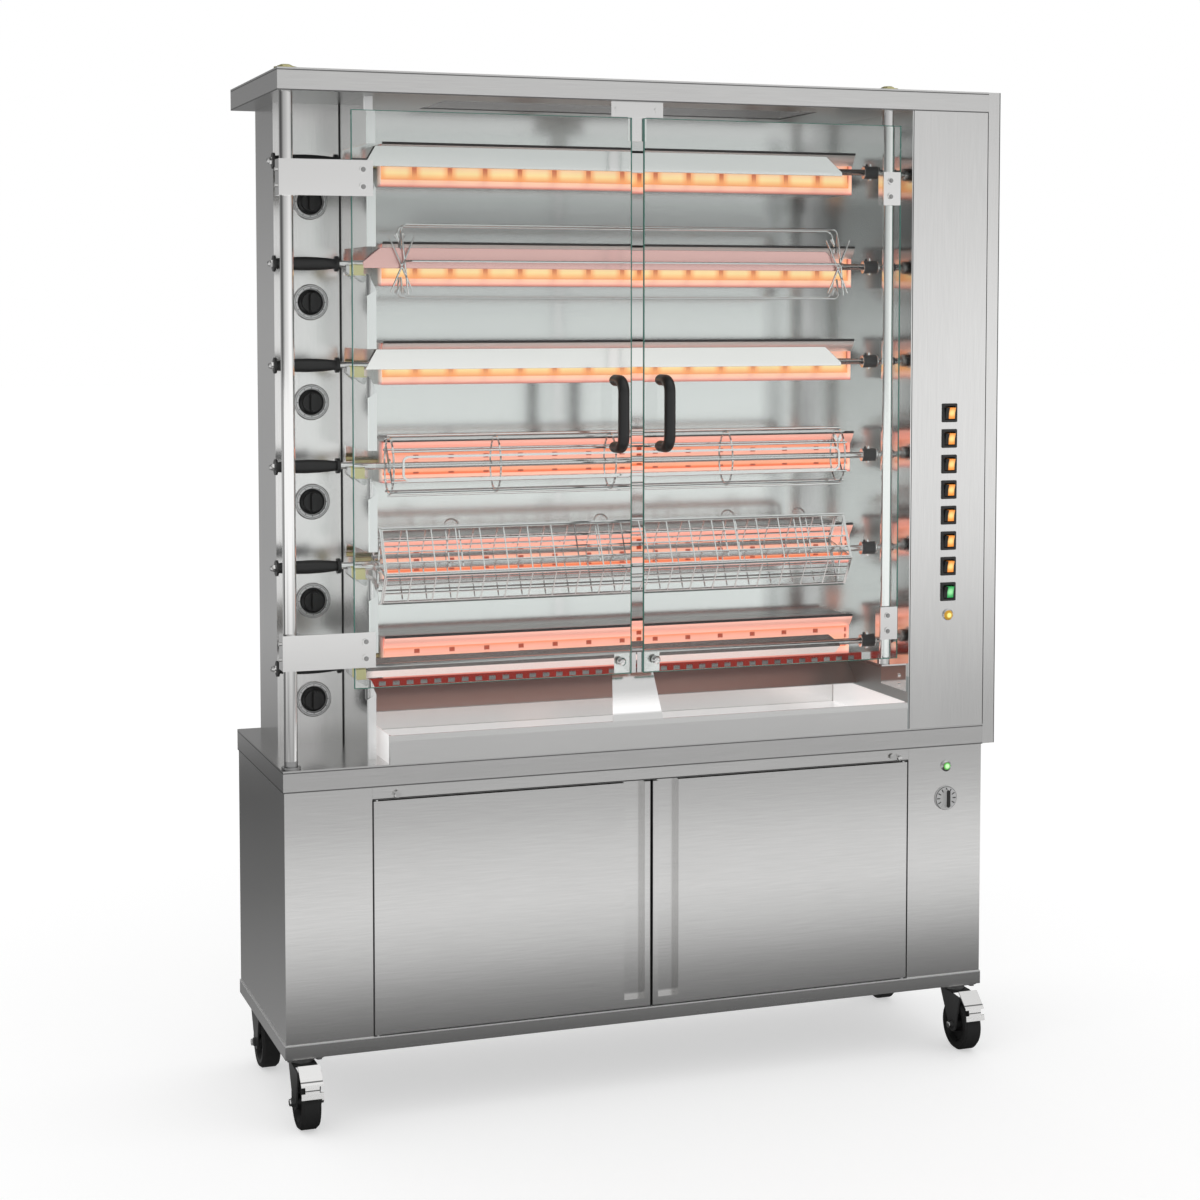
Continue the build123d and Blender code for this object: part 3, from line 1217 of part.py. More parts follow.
# end frames of flat bar: six rim bars, four spokes and a collar on the shaft
FRAME_W = 4.0
end_bars = []
inner_hex = [(FRAME_INNER * spot_y, FRAME_INNER * spot_z) for spot_y, spot_z in HEX]
for end_x in (MESH_X[0] - RING_T - SEAT, MESH_X[1] + SEAT):
    end_plane = side_plane(end_x, SPIT_Y, ROWS[4])
    for corner in range(len(HEX)):
        with BuildPart() as rim_bar:
            slab(end_plane, [HEX[corner - 1], HEX[corner], inner_hex[corner], inner_hex[corner - 1]], RING_T)
        end_bars.append(rim_bar.part)
    for spoke_end in (HEX[0], HEX[1], HEX[3], HEX[4]):
        out = Vector(*spoke_end)
        middle = out.normalized() * (out.length + COLLAR_R) / 2
        with BuildPart() as spoke:
            with BuildSketch(end_plane) as spoke_face:
                with Locations((middle.X, middle.Y)):
                    Rectangle(
                        out.length - COLLAR_R,
                        FRAME_W,
                        rotation=degrees(atan2(out.Y, out.X)),
                    )
                with BuildLine():
                    Polyline(*inner_hex, close=True)
                make_face(mode=Mode.INTERSECT)
            extrude(spoke_face.sketch, amount=RING_T)
        end_bars.append(spoke.part)
    with BuildPart() as collar:
        ring(end_plane, COLLAR_R, SHAFT_R + SEAT, RING_T)
    end_bars.append(collar.part)
basket_parts = [basket_spit.part, corner_rods.part, *clips, *end_bars, *nets]
write(Compound(children=basket_parts), "spit_5")

# Castors, all trailing towards the front: swivelling fork, wheel, and a brake pedal on the front two
FORK_GAP = WHEEL_W / 2 + 1.5
CROWN_T = 4.0
CROWN_Z = CASTOR_H - SEAT - PLATE_T - RACE_H - RUN - CROWN_T
PEDAL_W = 40.0
PEDAL_T = 2.5
PEDAL_PIVOT = (-56.0, 106.0)
PEDAL_TREAD = [(-58.0, 120.0), (-86.0, 94.0), (-90.0, 70.0)]
for place, (swivel_x, swivel_y) in CASTORS.items():
    axle_y = swivel_y - TRAIL
    with BuildPart() as fork:
        with BuildSketch(floor_plane(swivel_x, swivel_y, CROWN_Z)) as crown:
            Circle(FORK_GAP + FORK_T)
            with Locations((0, -TRAIL / 4)):
                Rectangle(2 * (FORK_GAP + FORK_T), TRAIL)
        extrude(crown.sketch, amount=CROWN_T)
        for cheek_x in (-FORK_GAP - FORK_T, FORK_GAP):
            with BuildSketch(side_plane(swivel_x + cheek_x, swivel_y, 0)) as cheek:
                with BuildLine():
                    Polyline(
                        (12, CROWN_Z),
                        (12, CROWN_Z + CROWN_T),
                        (-20, CROWN_Z + CROWN_T),
                        (PEDAL_PIVOT[0] - 6, PEDAL_PIVOT[1] + 5),
                        (PEDAL_PIVOT[0] - 7, PEDAL_PIVOT[1] - 5),
                        (-TRAIL - 13, WHEEL_Z - 5),
                        (-TRAIL + 13, WHEEL_Z - 5),
                        close=True,
                    )
                make_face()
                with Locations((-TRAIL, WHEEL_Z)):
                    Circle(14)
            extrude(cheek.sketch, amount=FORK_T)
        axle_half = FORK_GAP + FORK_T + 5
        disc(side_plane(swivel_x - axle_half + 5, axle_y, WHEEL_Z), AXLE_R, 2 * axle_half - 10)
        for nut_x in (-axle_half, axle_half - 5):
            with BuildSketch(side_plane(swivel_x + nut_x, axle_y, WHEEL_Z)) as nut:
                RegularPolygon(8.5, 6)
            extrude(nut.sketch, amount=5)
        if place.startswith("front"):
            pivot_y, pivot_z = PEDAL_PIVOT
            disc(side_plane(swivel_x - FORK_GAP, swivel_y + pivot_y, pivot_z), 2, 2 * FORK_GAP)
    write(fork.part, f"castor_fork_{place}")

    with BuildPart() as wheel:
        half = WHEEL_W / 2
        turned(
            side_plane(swivel_x, axle_y, WHEEL_Z),
            [
                (AXLE_R + PIN_RUN, -half - 1),
                (13, -half - 1),
                (15, -8),
                (31, -8),
                (35, -half + 1),
                (WHEEL_R - 4, -half),
                (WHEEL_R, -half + 5),
                (WHEEL_R, half - 5),
                (WHEEL_R - 4, half),
                (35, half - 1),
                (31, 8),
                (15, 8),
                (13, half + 1),
                (AXLE_R + PIN_RUN, half + 1),
            ],
        )
    write(wheel.part, f"castor_wheel_{place}")

    if place.startswith("front"):
        with BuildPart() as pedal:
            pivot_y, pivot_z = PEDAL_PIVOT
            tread = side_plane(swivel_x - PEDAL_W / 2, swivel_y, 0)
            folded(tread, PEDAL_TREAD, PEDAL_W, thickness=PEDAL_T, side=-1)
            for notch_x in (-PEDAL_W / 2, PEDAL_W / 2 - 7):
                block(
                    (swivel_x + notch_x, swivel_x + notch_x + 7),
                    (swivel_y - 100, swivel_y - 80),
                    (81, 92),
                    mode=Mode.SUBTRACT,
                )
            rib = side_plane(swivel_x - 5, swivel_y, 0)
            slab(rib, [(pivot_y, pivot_z + 3), PEDAL_TREAD[0], PEDAL_TREAD[1], (pivot_y, pivot_z - 3)], 10)
            barrel = side_plane(swivel_x - FORK_GAP + RUN, swivel_y + pivot_y, pivot_z)
            disc(barrel, 4, 2 * (FORK_GAP - RUN))
            disc(barrel, 2 + PIN_RUN, 2 * (FORK_GAP - RUN), mode=Mode.SUBTRACT)
        write(pedal.part, f"castor_pedal_{place}")
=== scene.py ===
"""Six-spit gas rotisserie on a heated cupboard: looks, light and camera."""

from math import pi, radians

import bmesh
import bpy
from mathutils import Euler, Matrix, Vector


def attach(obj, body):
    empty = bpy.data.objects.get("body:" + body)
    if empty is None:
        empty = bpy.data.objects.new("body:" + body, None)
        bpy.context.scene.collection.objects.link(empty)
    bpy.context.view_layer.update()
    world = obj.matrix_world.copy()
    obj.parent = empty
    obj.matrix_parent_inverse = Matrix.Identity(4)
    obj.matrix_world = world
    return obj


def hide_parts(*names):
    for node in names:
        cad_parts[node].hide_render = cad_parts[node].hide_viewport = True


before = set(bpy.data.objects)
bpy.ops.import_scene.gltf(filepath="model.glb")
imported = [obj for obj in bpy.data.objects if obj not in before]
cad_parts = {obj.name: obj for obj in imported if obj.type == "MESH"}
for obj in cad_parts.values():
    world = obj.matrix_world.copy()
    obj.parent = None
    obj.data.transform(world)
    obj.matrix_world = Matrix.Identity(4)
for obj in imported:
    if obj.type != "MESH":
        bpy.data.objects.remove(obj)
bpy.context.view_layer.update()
scene = bpy.context.scene

# The machine's own zero: left side of the deck and its front plane
LEFT = -0.714
FRONT = -0.195

# What repeats down the machine, in metres from that zero and the floor
ROW_COUNT = 6
TOP_ROW = 1.734
ROW_PITCH = 0.1834
ROWS = [TOP_ROW - ROW_PITCH * row for row in range(ROW_COUNT)]
KNOB_X = 0.1105
TOP_KNOB = 1.6686
KNOB_PITCH = 0.187
SWITCH_X = 1.320
TOP_SWITCH = 1.267
SWITCH_PITCH = 0.0501
SWITCH_COUNT = 8


def at(x, y, z):
    """A point given in millimetres from the machine's left side, front and floor."""
    return Vector((LEFT + x / 1000, FRONT + y / 1000, z / 1000))


class Nodes:
    """A node tree with short calls for adding and joining its nodes."""

    def __init__(self, tree):
        self.tree = tree
        self.tree.nodes.clear()

    def add(self, kind, **values):
        node = self.tree.nodes.new(kind)
        for name, value in values.items():
            setattr(node, name, value)
        return node

    def join(self, out, into):
        self.tree.links.new(out, into)

    def feed(self, socket, value):
        """A number or colour is set on the socket, and anything else is joined to it."""
        if isinstance(value, (int, float)):
            socket.default_value = value
        elif isinstance(value, tuple):
            socket.default_value = (*value, 1) if len(socket.default_value) == 4 else value
        else:
            self.join(value, socket)

    def math(self, operation, first, second=None, third=None, clamp=False):
        node = self.add("ShaderNodeMath", operation=operation, use_clamp=clamp)
        for socket, value in zip(node.inputs, (first, second, third)):
            if value is not None:
                self.feed(socket, value)
        return node.outputs[0]

    def most(self, first, *others):
        """The largest of some masks."""
        for other in others:
            first = self.math("MAXIMUM", first, other)
        return first

    def both(self, first, *others):
        """Where all of some masks are 1."""
        for other in others:
            first = self.math("MULTIPLY", first, other)
        return first

    def around(self, value):
        """A noise moved so that it lies round 0."""
        return self.math("SUBTRACT", value, 0.5)

    def step(self, value, low, high, start=0.0, end=1.0):
        """Goes smoothly from start at low to end at high."""
        node = self.add("ShaderNodeMapRange", interpolation_type="SMOOTHSTEP")
        self.feed(node.inputs["Value"], value)
        node.inputs["From Min"].default_value = low
        node.inputs["From Max"].default_value = high
        node.inputs["To Min"].default_value = start
        node.inputs["To Max"].default_value = end
        return node.outputs["Result"]

    def inside(self, value, low, high, soft=0.0004):
        """1 between low and high, and 0 outside them."""
        start = self.step(value, low - soft, low + soft)
        return self.both(start, self.below(value, high - soft, high + soft))

    def below(self, value, low, high):
        """1 up to low, and 0 past high."""
        return self.step(value, low, high, 1.0, 0.0)

    def ramp(self, factor, stops):
        node = self.add("ShaderNodeValToRGB")
        elements = node.color_ramp.elements
        while len(elements) > 1:
            elements.remove(elements[0])
        for number, (place, colour) in enumerate(stops):
            element = elements[0] if number == 0 else elements.new(place)
            element.position = place
            element.color = (*colour, 1)
        self.join(factor, node.inputs["Fac"])
        return node.outputs["Color"]

    def mix(self, factor, first, second, blend="MIX"):
        node = self.add("ShaderNodeMix", data_type="RGBA", blend_type=blend)
        for socket, value in ((node.inputs[0], factor), (node.inputs[6], first), (node.inputs[7], second)):
            self.feed(socket, value)
        return node.outputs[2]

    def blend_value(self, factor, first, second):
        node = self.add("ShaderNodeMix", data_type="FLOAT")
        for socket, value in ((node.inputs[0], factor), (node.inputs[2], first), (node.inputs[3], second)):
            self.feed(socket, value)
        return node.outputs[0]

    def coords(self, kind="Object"):
        return self.add("ShaderNodeTexCoord").outputs[kind]

    def apart(self, vector):
        node = self.add("ShaderNodeSeparateXYZ")
        self.join(vector, node.inputs[0])
        return node.outputs

    def place(self):
        """Object coordinates, from the machine's left side, front and floor, in metres."""
        coords = self.coords()
        x, y, z = self.apart(coords)
        return coords, self.math("SUBTRACT", x, LEFT), self.math("SUBTRACT", y, FRONT), z

    def stretched(self, coords, stretch):
        node = self.add("ShaderNodeMapping")
        node.inputs["Scale"].default_value = stretch
        self.join(coords, node.inputs["Vector"])
        return node.outputs[0]

    def noise(self, coords, scale, stretch=(1.0, 1.0, 1.0), detail=3.0, rough=0.5):
        node = self.add("ShaderNodeTexNoise")
        node.inputs["Scale"].default_value = scale
        node.inputs["Detail"].default_value = detail
        node.inputs["Roughness"].default_value = rough
        self.join(self.stretched(coords, stretch), node.inputs["Vector"])
        return node.outputs["Fac"]

    def group(self, tree, **values):
        node = self.add("ShaderNodeGroup")
        node.node_tree = tree
        for name, value in values.items():
            self.feed(node.inputs[name], value)
        return node.outputs

    def mix_shader(self, factor, first, second):
        node = self.add("ShaderNodeMixShader")
        for socket, value in zip(node.inputs, (factor, first, second)):
            self.join(value, socket)
        return node.outputs[0]

    def finish(self, shader, kind="Material"):
        """Joins the shader to the tree's output."""
        self.join(shader, self.add(f"ShaderNodeOutput{kind}").inputs["Surface"])

    def principled(self, values, normal):
        """The material's Principled BSDF, joined to its output."""
        node = self.add("ShaderNodeBsdfPrincipled")
        for name, value in values.items():
            self.feed(node.inputs[name], value)
        self.join(normal, node.inputs["Normal"])
        self.finish(node.outputs[0])

    def bump(self, height, strength=0.3, distance=0.001):
        node = self.add("ShaderNodeBump")
        node.inputs["Strength"].default_value = strength
        node.inputs["Distance"].default_value = distance
        self.join(height, node.inputs["Height"])
        return node.outputs[0]


def grey(value):
    return (value, value, value)


def new_material(name):
    material = bpy.data.materials.new(name)
    material.use_nodes = True
    return material, Nodes(material.node_tree)


def wear_group():
    """Handled sheet metal: fine grain in its tone and height, and smudges in its roughness."""
    tree = bpy.data.node_groups.new("handled sheet", "ShaderNodeTree")
    tree.interface.new_socket("Vector", in_out="INPUT", socket_type="NodeSocketVector")
    for label in ("Tone", "Rough", "Grain"):
        tree.interface.new_socket(label, in_out="INPUT", socket_type="NodeSocketFloat")
    for label in ("Level", "Roughness", "Height"):
        tree.interface.new_socket(label, in_out="OUTPUT", socket_type="NodeSocketFloat")
    n = Nodes(tree)
    given = n.add("NodeGroupInput").outputs
    put = n.add("NodeGroupOutput").inputs
    grain_size, smudge_size = 900.0, 5.0
    grain = n.add("ShaderNodeTexNoise")
    n.join(given["Vector"], grain.inputs["Vector"])
    grain.inputs["Scale"].default_value = grain_size
    grain.inputs["Detail"].default_value = 2
    smudge = n.add("ShaderNodeTexNoise")
    n.join(given["Vector"], smudge.inputs["Vector"])
    smudge.inputs["Scale"].default_value = smudge_size
    smudge.inputs["Detail"].default_value = 5
    smudge.inputs["Roughness"].default_value = 0.6
    grain_share = n.math("MULTIPLY", given["Grain"], 0.35)
    level = n.math("MULTIPLY_ADD", n.around(grain.outputs["Fac"]), grain_share, given["Tone"])
    roughness = n.math("MULTIPLY_ADD", n.around(smudge.outputs["Fac"]), 0.12, given["Rough"])
    n.join(level, put["Level"])
    n.join(roughness, put["Roughness"])
    n.join(grain.outputs["Fac"], put["Height"])
    return tree


WEAR = wear_group()


def sheet_steel(name, tone, rough, along="x", grain=0.35, paint=None, tint=(1.0, 0.995, 0.985)):
    """Brushed or bright stainless sheet. paint may change the colour, roughness and metal by place."""
    material, n = new_material(name)
    coords, x, y, z = n.place()
    brushed = {"x": (0.02, 1, 1), "z": (1, 1, 0.02)}[along]
    wear = n.group(WEAR, Vector=n.stretched(coords, brushed), Tone=tone, Rough=rough, Grain=grain)
    broad = n.noise(coords, 3.0, detail=4)
    level = n.math("MULTIPLY_ADD", n.around(broad), 0.05, wear["Level"])
    colour = n.add("ShaderNodeCombineColor")
    for channel, share in zip(("Red", "Green", "Blue"), tint):
        n.join(n.math("MULTIPLY", level, share), colour.inputs[channel])
    values = {"Base Color": colour.outputs[0], "Roughness": wear["Roughness"], "Metallic": 1.0}
    if paint:
        values.update(paint(n, x, y, z, values))
    n.principled(values, n.bump(wear["Height"], grain * 0.25, 0.0002))
    return material


def moulded(name, colour, rough, speckle=0.02, paint=None):
    """Moulded plastic, rubber or paint with a fine texture. paint may change it by place."""
    material, n = new_material(name)
    coords, x, y, z = n.place()
    fine = n.noise(coords, 900, detail=2)
    broad = n.noise(coords, 25, detail=4)
    dark = tuple(max(channel - speckle, 0.0) for channel in colour)
    light = tuple(channel + speckle for channel in colour)
    values = {
        "Base Color": n.mix(broad, dark, light),
        "Roughness": n.math("MULTIPLY_ADD", n.around(broad), 0.15, rough),
        "Metallic": 0.0,
    }
    if paint:
        values.update(paint(n, x, y, z, values))
    n.principled(values, n.bump(fine, 0.1, 0.0003))
    return material


def row_distance(n, z, first, pitch, count):
    """Distance in z from the nearest of count rows that go down from first."""
    number = n.math("ROUND", n.math("DIVIDE", n.math("SUBTRACT", first, z), pitch))
    number = n.math("MINIMUM", n.math("MAXIMUM", number, 0.0), float(count - 1))
    return n.math("SUBTRACT", z, n.math("SUBTRACT", first, n.math("MULTIPLY", number, pitch)))


def spit_distance(n, z):
    """Distance in z from the nearest spit."""
    return row_distance(n, z, TOP_ROW, ROW_PITCH, ROW_COUNT)


def round_distance(n, first, second):
    squares = n.math("ADD", n.math("MULTIPLY", first, first), n.math("MULTIPLY", second, second))
    return n.math("SQRT", squares)


def number_blend(n, mask, first, second):
    """A number that is the same all over stays a plain number."""
    return first if first == second else n.blend_value(mask, first, second)


def overlay(n, values, mask, colour, rough, metal):
    """Another finish where mask is 1."""
    return {
        "Base Color": n.mix(mask, values["Base Color"], colour),
        "Roughness": number_blend(n, mask, values["Roughness"], rough),
        "Metallic": number_blend(n, mask, values["Metallic"], metal),
    }


def lit(values, colour, strength):
    """Adds light of the piece's own to a finish."""
    return {**values, "Emission Color": colour, "Emission Strength": strength}


def linear(code):
    """A colour written as six hex digits, made linear for a shader."""
    parts = [int(code[place : place + 2], 16) / 255 for place in (0, 2, 4)]
    return tuple(part / 12.92 if part < 0.04045 else ((part + 0.055) / 1.055) ** 2.4 for part in parts)


ZINC_YELLOW = (0.66, 0.62, 0.33)

# Places on the chamber's back, and the height under which the burners glow pink
BACK_PLANE = (0.293, 0.295)
LOW_BURNERS = (1.26, 1.28)

# Rows of holes on a plate's joints, as shares of its height from top to bottom
BANDS = ((0.58, 0.74), (0.33, 0.48), (0.03, 0.1))


def panel_paint(n, x, y, z, values):
    """Two bright bezel rings round each knob, printed setting marks, and painted shade round the knob, in
    the bezel's groove and rim gap, and in the seam at the wall.
    """
    knob_gap, bezel_edge = 0.0243, 0.0325
    mark_ring, groove, rim_gap = (0.0255, 0.0282), (0.0292, 0.0299), (0.0318, bezel_edge)
    wall_seam = (0.1658, 0.1685)
    across = n.math("SUBTRACT", x, KNOB_X)
    up = row_distance(n, z, TOP_KNOB, KNOB_PITCH, ROW_COUNT)
    reach = round_distance(n, across, up)
    wave = n.math("ABSOLUTE", n.math("SINE", n.math("MULTIPLY", n.math("ARCTAN2", across, up), 6.0)))
    marks = n.both(n.below(wave, 0.1, 0.16), n.inside(reach, *mark_ring))
    shaded_gaps = (n.inside(reach, *groove), n.inside(reach, *rim_gap))
    # Painted shade: the ring round the knob, the groove, the rim gap and the wall seam are dark; the
    # setting marks are print.
    dark = n.most(n.inside(reach, -1.0, knob_gap), *shaded_gaps, marks, n.inside(x, *wall_seam))
    bezel = overlay(n, values, n.inside(reach, -1.0, bezel_edge), grey(0.62), 0.3, 1.0)
    return overlay(n, bezel, dark, grey(0.03), 0.5, 0.2)


def flange_highlight_paint(n, x, y, z, values):
    """The notched wall's front flange is painted bright: a painted highlight."""
    flange_x, flange_y = (0.1703, 0.1855), (0.0625, 0.063)
    flange = n.both(n.inside(x, *flange_x), n.below(y, *flange_y))
    return overlay(n, values, n.both(flange, 0.75), grey(0.99), 0.3, 0.35)


def bend_shade_paint(low, high):
    """A folded sheet with painted shade along its bottom and top bends, as fine dark lines."""

    def paint(n, x, y, z, values):
        bend_shade = n.most(n.below(z, low + 0.002, low + 0.0028), n.inside(z, high - 0.005, high - 0.003))
        return overlay(n, values, n.both(bend_shade, 0.85), grey(0.07), 0.3, 1.0)

    return paint


def casing_paint(n, x, y, z, values):
    """Painted shade in the seams beside the switch panel, and on the side cover's edge past its bend."""
    panel_seam, cover_seam, cover_bend = (1.2365, 1.2385), (1.3984, 1.4022), (1.4256, 1.4262)
    front = n.below(y, 0.02, 0.025)
    cover_bend_shade = n.both(n.step(x, *cover_bend), 0.8)
    seam_shade = n.most(n.inside(x, *cover_seam), cover_bend_shade, n.inside(x, *panel_seam))
    return overlay(n, values, n.both(seam_shade, front), grey(0.02), 0.6, 0.2)


def door_paint(n, x, y, z, values):
    """Shade in the gaps round and between the cupboard doors."""
    left_gap, right_gap, middle_gap = (0.1625, 0.1652), (1.2350, 1.2377), (0.6970, 0.7030)
    door_height, top_gap = (0.150, 0.5885), (0.5866, 0.5890)
    upright = n.most(n.inside(x, *left_gap), n.inside(x, *right_gap), n.inside(x, *middle_gap))
    upright = n.both(upright, n.inside(z, *door_height))
    across = n.both(n.inside(z, *top_gap), n.inside(x, left_gap[0], right_gap[1]))
    return overlay(n, values, n.both(n.most(upright, across), 0.93), grey(0.012), 0.6, 0.2)


def bearing_paint(n, x, y, z, values):
    """A yellow zinc hook on a grey steel cradle."""
    hook_height, hook_x = (-0.0215, 0.01), (0.1495, 0.1695)
    hook = n.both(n.inside(spit_distance(n, z), *hook_height), n.inside(x, *hook_x))
    return overlay(n, values, hook, ZINC_YELLOW, 0.3, 0.8)


def tray_light_paint(n, x, y, z, values):
    """The inside of the tray is painted bright and given light of its own: painted light."""
    inside_y, rim_height = (0.004, 0.325), (0.72, 0.76)
    inner = n.both(n.inside(y, *inside_y, 0.001), n.below(z, *rim_height))
    painted_bright_inside = overlay(n, values, n.both(inner, 0.8), grey(0.96), 0.2, 0.25)
    return lit(painted_bright_inside, (1.0, 0.97, 0.96), n.both(inner, 0.38))


def low_blade_shade_paint(n, x, y, z, values):
    """Painted shade: the upper face of the lowest blade is painted darker than its bright lower one."""
    fold_height = ROWS[5] - 0.0072
    return overlay(n, values, n.step(z, fold_height, fold_height + 0.001), grey(0.42), 0.25, 1.0)


def hood_paint(n, x, y, z, values):
    """A painted reflection of the plates' glow on each hood, pink on the lower rows, with painted glow of
    its own that is stronger down the oven, and painted shade along its folded edge.
    """
    folded_edge = (0.0375, 0.0385)
    low_rows = n.below(z, *LOW_BURNERS)
    colour = n.mix(low_rows, linear("e9e4e0"), linear("f3ab98"))
    edge = n.step(spit_distance(n, z), *folded_edge)
    glow = n.both(n.math("SUBTRACT", 1.0, edge), n.math("MULTIPLY_ADD", low_rows, 0.5, 0.1))
    glow_reflection = overlay(n, values, 0.7, colour, 0.25, 0.6)
    return lit(overlay(n, glow_reflection, edge, grey(0.04), 0.4, 0.8), colour, glow)


def cavity_paint(n, x, y, z, values):
    """Painted dark reflections on the chamber, as a band between the upper spits, two columns and a shelf;
    a painted red glow of the burners, with light of its own, on the deflector's top; and darker, greener,
    rougher sheet below that top in front of the back.
    """
    columns, column_foot = ((1.03, 1.07), (1.105, 1.135)), (1.76, 1.84)
    shelf_height, shelf_x = (1.612, 1.655), (0.3, 1.16)
    red_height, red_x = (0.7535, 0.7765), (0.18, 1.225)
    under_top, under_back = (0.7515, 0.7535), (0.33, 0.34)
    # Painted dark reflection: the back is darker in a band between the two top spits.
    tone = n.ramp(
        n.math("DIVIDE", z, 2.0),
        [
            (0.0, grey(0.82)),
            (0.62, grey(0.8)),
            (0.72, grey(0.74)),
            (0.775, grey(0.56)),
            (0.805, grey(0.44)),
            (0.835, grey(0.42)),
            (0.868, grey(0.8)),
            (0.95, grey(0.9)),
        ],
    )
    colour = n.mix(0.85, values["Base Color"], tone, "MULTIPLY")
    # Painted dark reflections: two soft columns and a shelf on the back.
    patch = n.noise(n.coords(), 5, stretch=(1.0, 1.0, 0.6), detail=1.0)
    column = n.most(*(n.inside(x, *column_x, 0.02) for column_x in columns))
    column = n.both(column, n.below(z, *column_foot), patch, 0.8)
    shelf = n.both(n.inside(z, *shelf_height, 0.02), n.inside(x, *shelf_x, 0.05), 0.3)
    dark_reflection = n.both(n.step(y, *BACK_PLANE), n.most(column, shelf))
    colour = n.mix(dark_reflection, colour, grey(0.09))
    # Painted glow: a red band of burner light, with light of its own, on the deflector's top.
    red_glow_band = n.both(n.inside(z, *red_height), n.below(y, *BACK_PLANE), n.inside(x, *red_x))
    under = n.both(n.below(z, *under_top), n.below(y, *under_back))
    colour = n.mix(n.both(under, 0.8), colour, (0.36, 0.4, 0.4))
    sheet = {
        "Base Color": n.mix(red_glow_band, colour, (0.22, 0.016, 0.01)),
        "Roughness": n.blend_value(under, values["Roughness"], 0.42),
    }
    return lit(sheet, (0.3, 0.025, 0.015), n.both(red_glow_band, 0.22))


def post_paint(n, x, y, z, values):
    """Yellow zinc on the nuts over the posts, and duller steel on the washers under them."""
    washer_top, nut_foot = (0.664, 0.665), (1.8885, 1.8895)
    values = overlay(n, values, n.below(z, *washer_top), grey(0.4), 0.3, 1.0)
    return overlay(n, values, n.step(z, *nut_foot), ZINC_YELLOW, 0.35, 0.8)


def spit_paint(n, x, y, z, values):
    """Black turned grips and black couplings on a steel spit."""
    grip_x, coupling_x, food_x = (0.0117, 0.1312), (1.167, 1.195), (0.19, 1.13)
    black = n.math("ADD", n.inside(x, *grip_x), n.inside(x, *coupling_x), clamp=True)
    values = overlay(n, values, n.both(n.inside(x, *food_x), 0.4), grey(0.5), 0.13, 1.0)
    return overlay(n, values, black, grey(0.022), 0.42, 0.0)


def burner_paint(n, x, y, z, values):
    """The burner's glow painted on the flared lips above and below each burner, which give off painted
    light of their own, with painted shade at the lips' outer edges.
    """
    colour = n.ramp(
        n.math("MULTIPLY_ADD", spit_distance(n, z), 10.0, 0.5),
        [
            (0.1, linear("8c5d57")),
            (0.13, linear("d99a90")),
            (0.17, linear("f6cfc2")),
            (0.24, linear("ffdcc6")),
            (0.6, linear("f6b9a8")),
            (0.72, linear("f0a596")),
            (0.86, linear("c98a80")),
            (0.885, linear("7d4a45")),
        ],
    )
    channel_back, lip_front = 0.3, 0.252
    front = n.step(y, channel_back, lip_front)
    painted_glow_lips = {
        "Base Color": n.mix(front, values["Base Color"], colour),
        "Metallic": n.blend_value(front, 1.0, 0.3),
    }
    return lit(painted_glow_lips, colour, n.both(front, 0.5))


def lamp_paint(n, x, y, z, values):
    """A yellow dome on the panel, and a green one on the cupboard, each in a dark ring."""
    yellow_z, green_z = 0.8703, 0.571
    across = n.math("SUBTRACT", x, SWITCH_X)
    to_yellow = round_distance(n, across, n.math("SUBTRACT", z, yellow_z))
    to_green = round_distance(n, across, n.math("SUBTRACT", z, green_z))
    yellow = n.inside(to_yellow, -1, 0.0095)
    green = n.inside(to_green, -1, 0.0072)
    domes = n.math("ADD", yellow, green, clamp=True)
    centre = n.math("MINIMUM", to_yellow, to_green)
    heart = n.below(centre, 0.0025, 0.0065)
    yellow_tone = n.mix(heart, linear("b98a28"), linear("fff08a"))
    green_tone = n.mix(heart, linear("4fae4c"), linear("c8f7b8"))
    colour = n.mix(green, yellow_tone, green_tone)
    collar = n.math("MINIMUM", n.below(centre, 0.0135, 0.014), n.step(centre, 0.0075, 0.008))
    values = overlay(n, values, collar, grey(0.6), 0.2, 1.0)
    return lit(overlay(n, values, domes, colour, 0.12, 0.0), colour, n.both(domes, 0.55))


def rocker_paint(lens, heart):
    """A lens over the right two thirds of the rocker, brightest in its middle."""
    lens_low, lens_high, half_height, lens_middle = -0.0035, 0.0096, 0.0115, 0.003

    def paint(n, x, y, z, values):
        glass = n.inside(x, SWITCH_X + lens_low, SWITCH_X + lens_high)
        up = row_distance(n, z, TOP_SWITCH, SWITCH_PITCH, SWITCH_COUNT)
        lens_face = n.both(glass, n.inside(up, -half_height, half_height))
        reach = round_distance(n, n.math("SUBTRACT", x, SWITCH_X + lens_middle), up)
        colour = n.mix(n.step(reach, 0.001, 0.011), linear(heart), linear(lens))
        return lit(overlay(n, values, lens_face, colour, 0.15, 0.0), colour, n.both(lens_face, 0.55))

    return paint


def dial_paint(n, x, y, z, values):
    """Short dark strokes round a grey dial, and the black bar across it."""
    dial_z, stroke_ring, rim = 0.507, (0.0135, 0.0205), (0.0222, 0.0232)
    open_turn, bar_front = (2.55, 2.6), (-0.0105, -0.0095)
    across = n.math("SUBTRACT", x, SWITCH_X)
    up = n.math("SUBTRACT", z, dial_z)
    reach = round_distance(n, across, up)
    turn = n.math("ARCTAN2", across, up)
    wave = n.math("ABSOLUTE", n.math("SINE", n.math("MULTIPLY", turn, 6.0)))
    strokes = n.both(n.below(wave, 0.3, 0.42), n.inside(reach, *stroke_ring))
    strokes = n.most(strokes, n.inside(reach, *rim))
    strokes = n.both(strokes, n.below(n.math("ABSOLUTE", turn), *open_turn))
    return overlay(n, values, n.most(strokes, n.below(y, *bar_front)), grey(0.012), 0.4, 0.0)


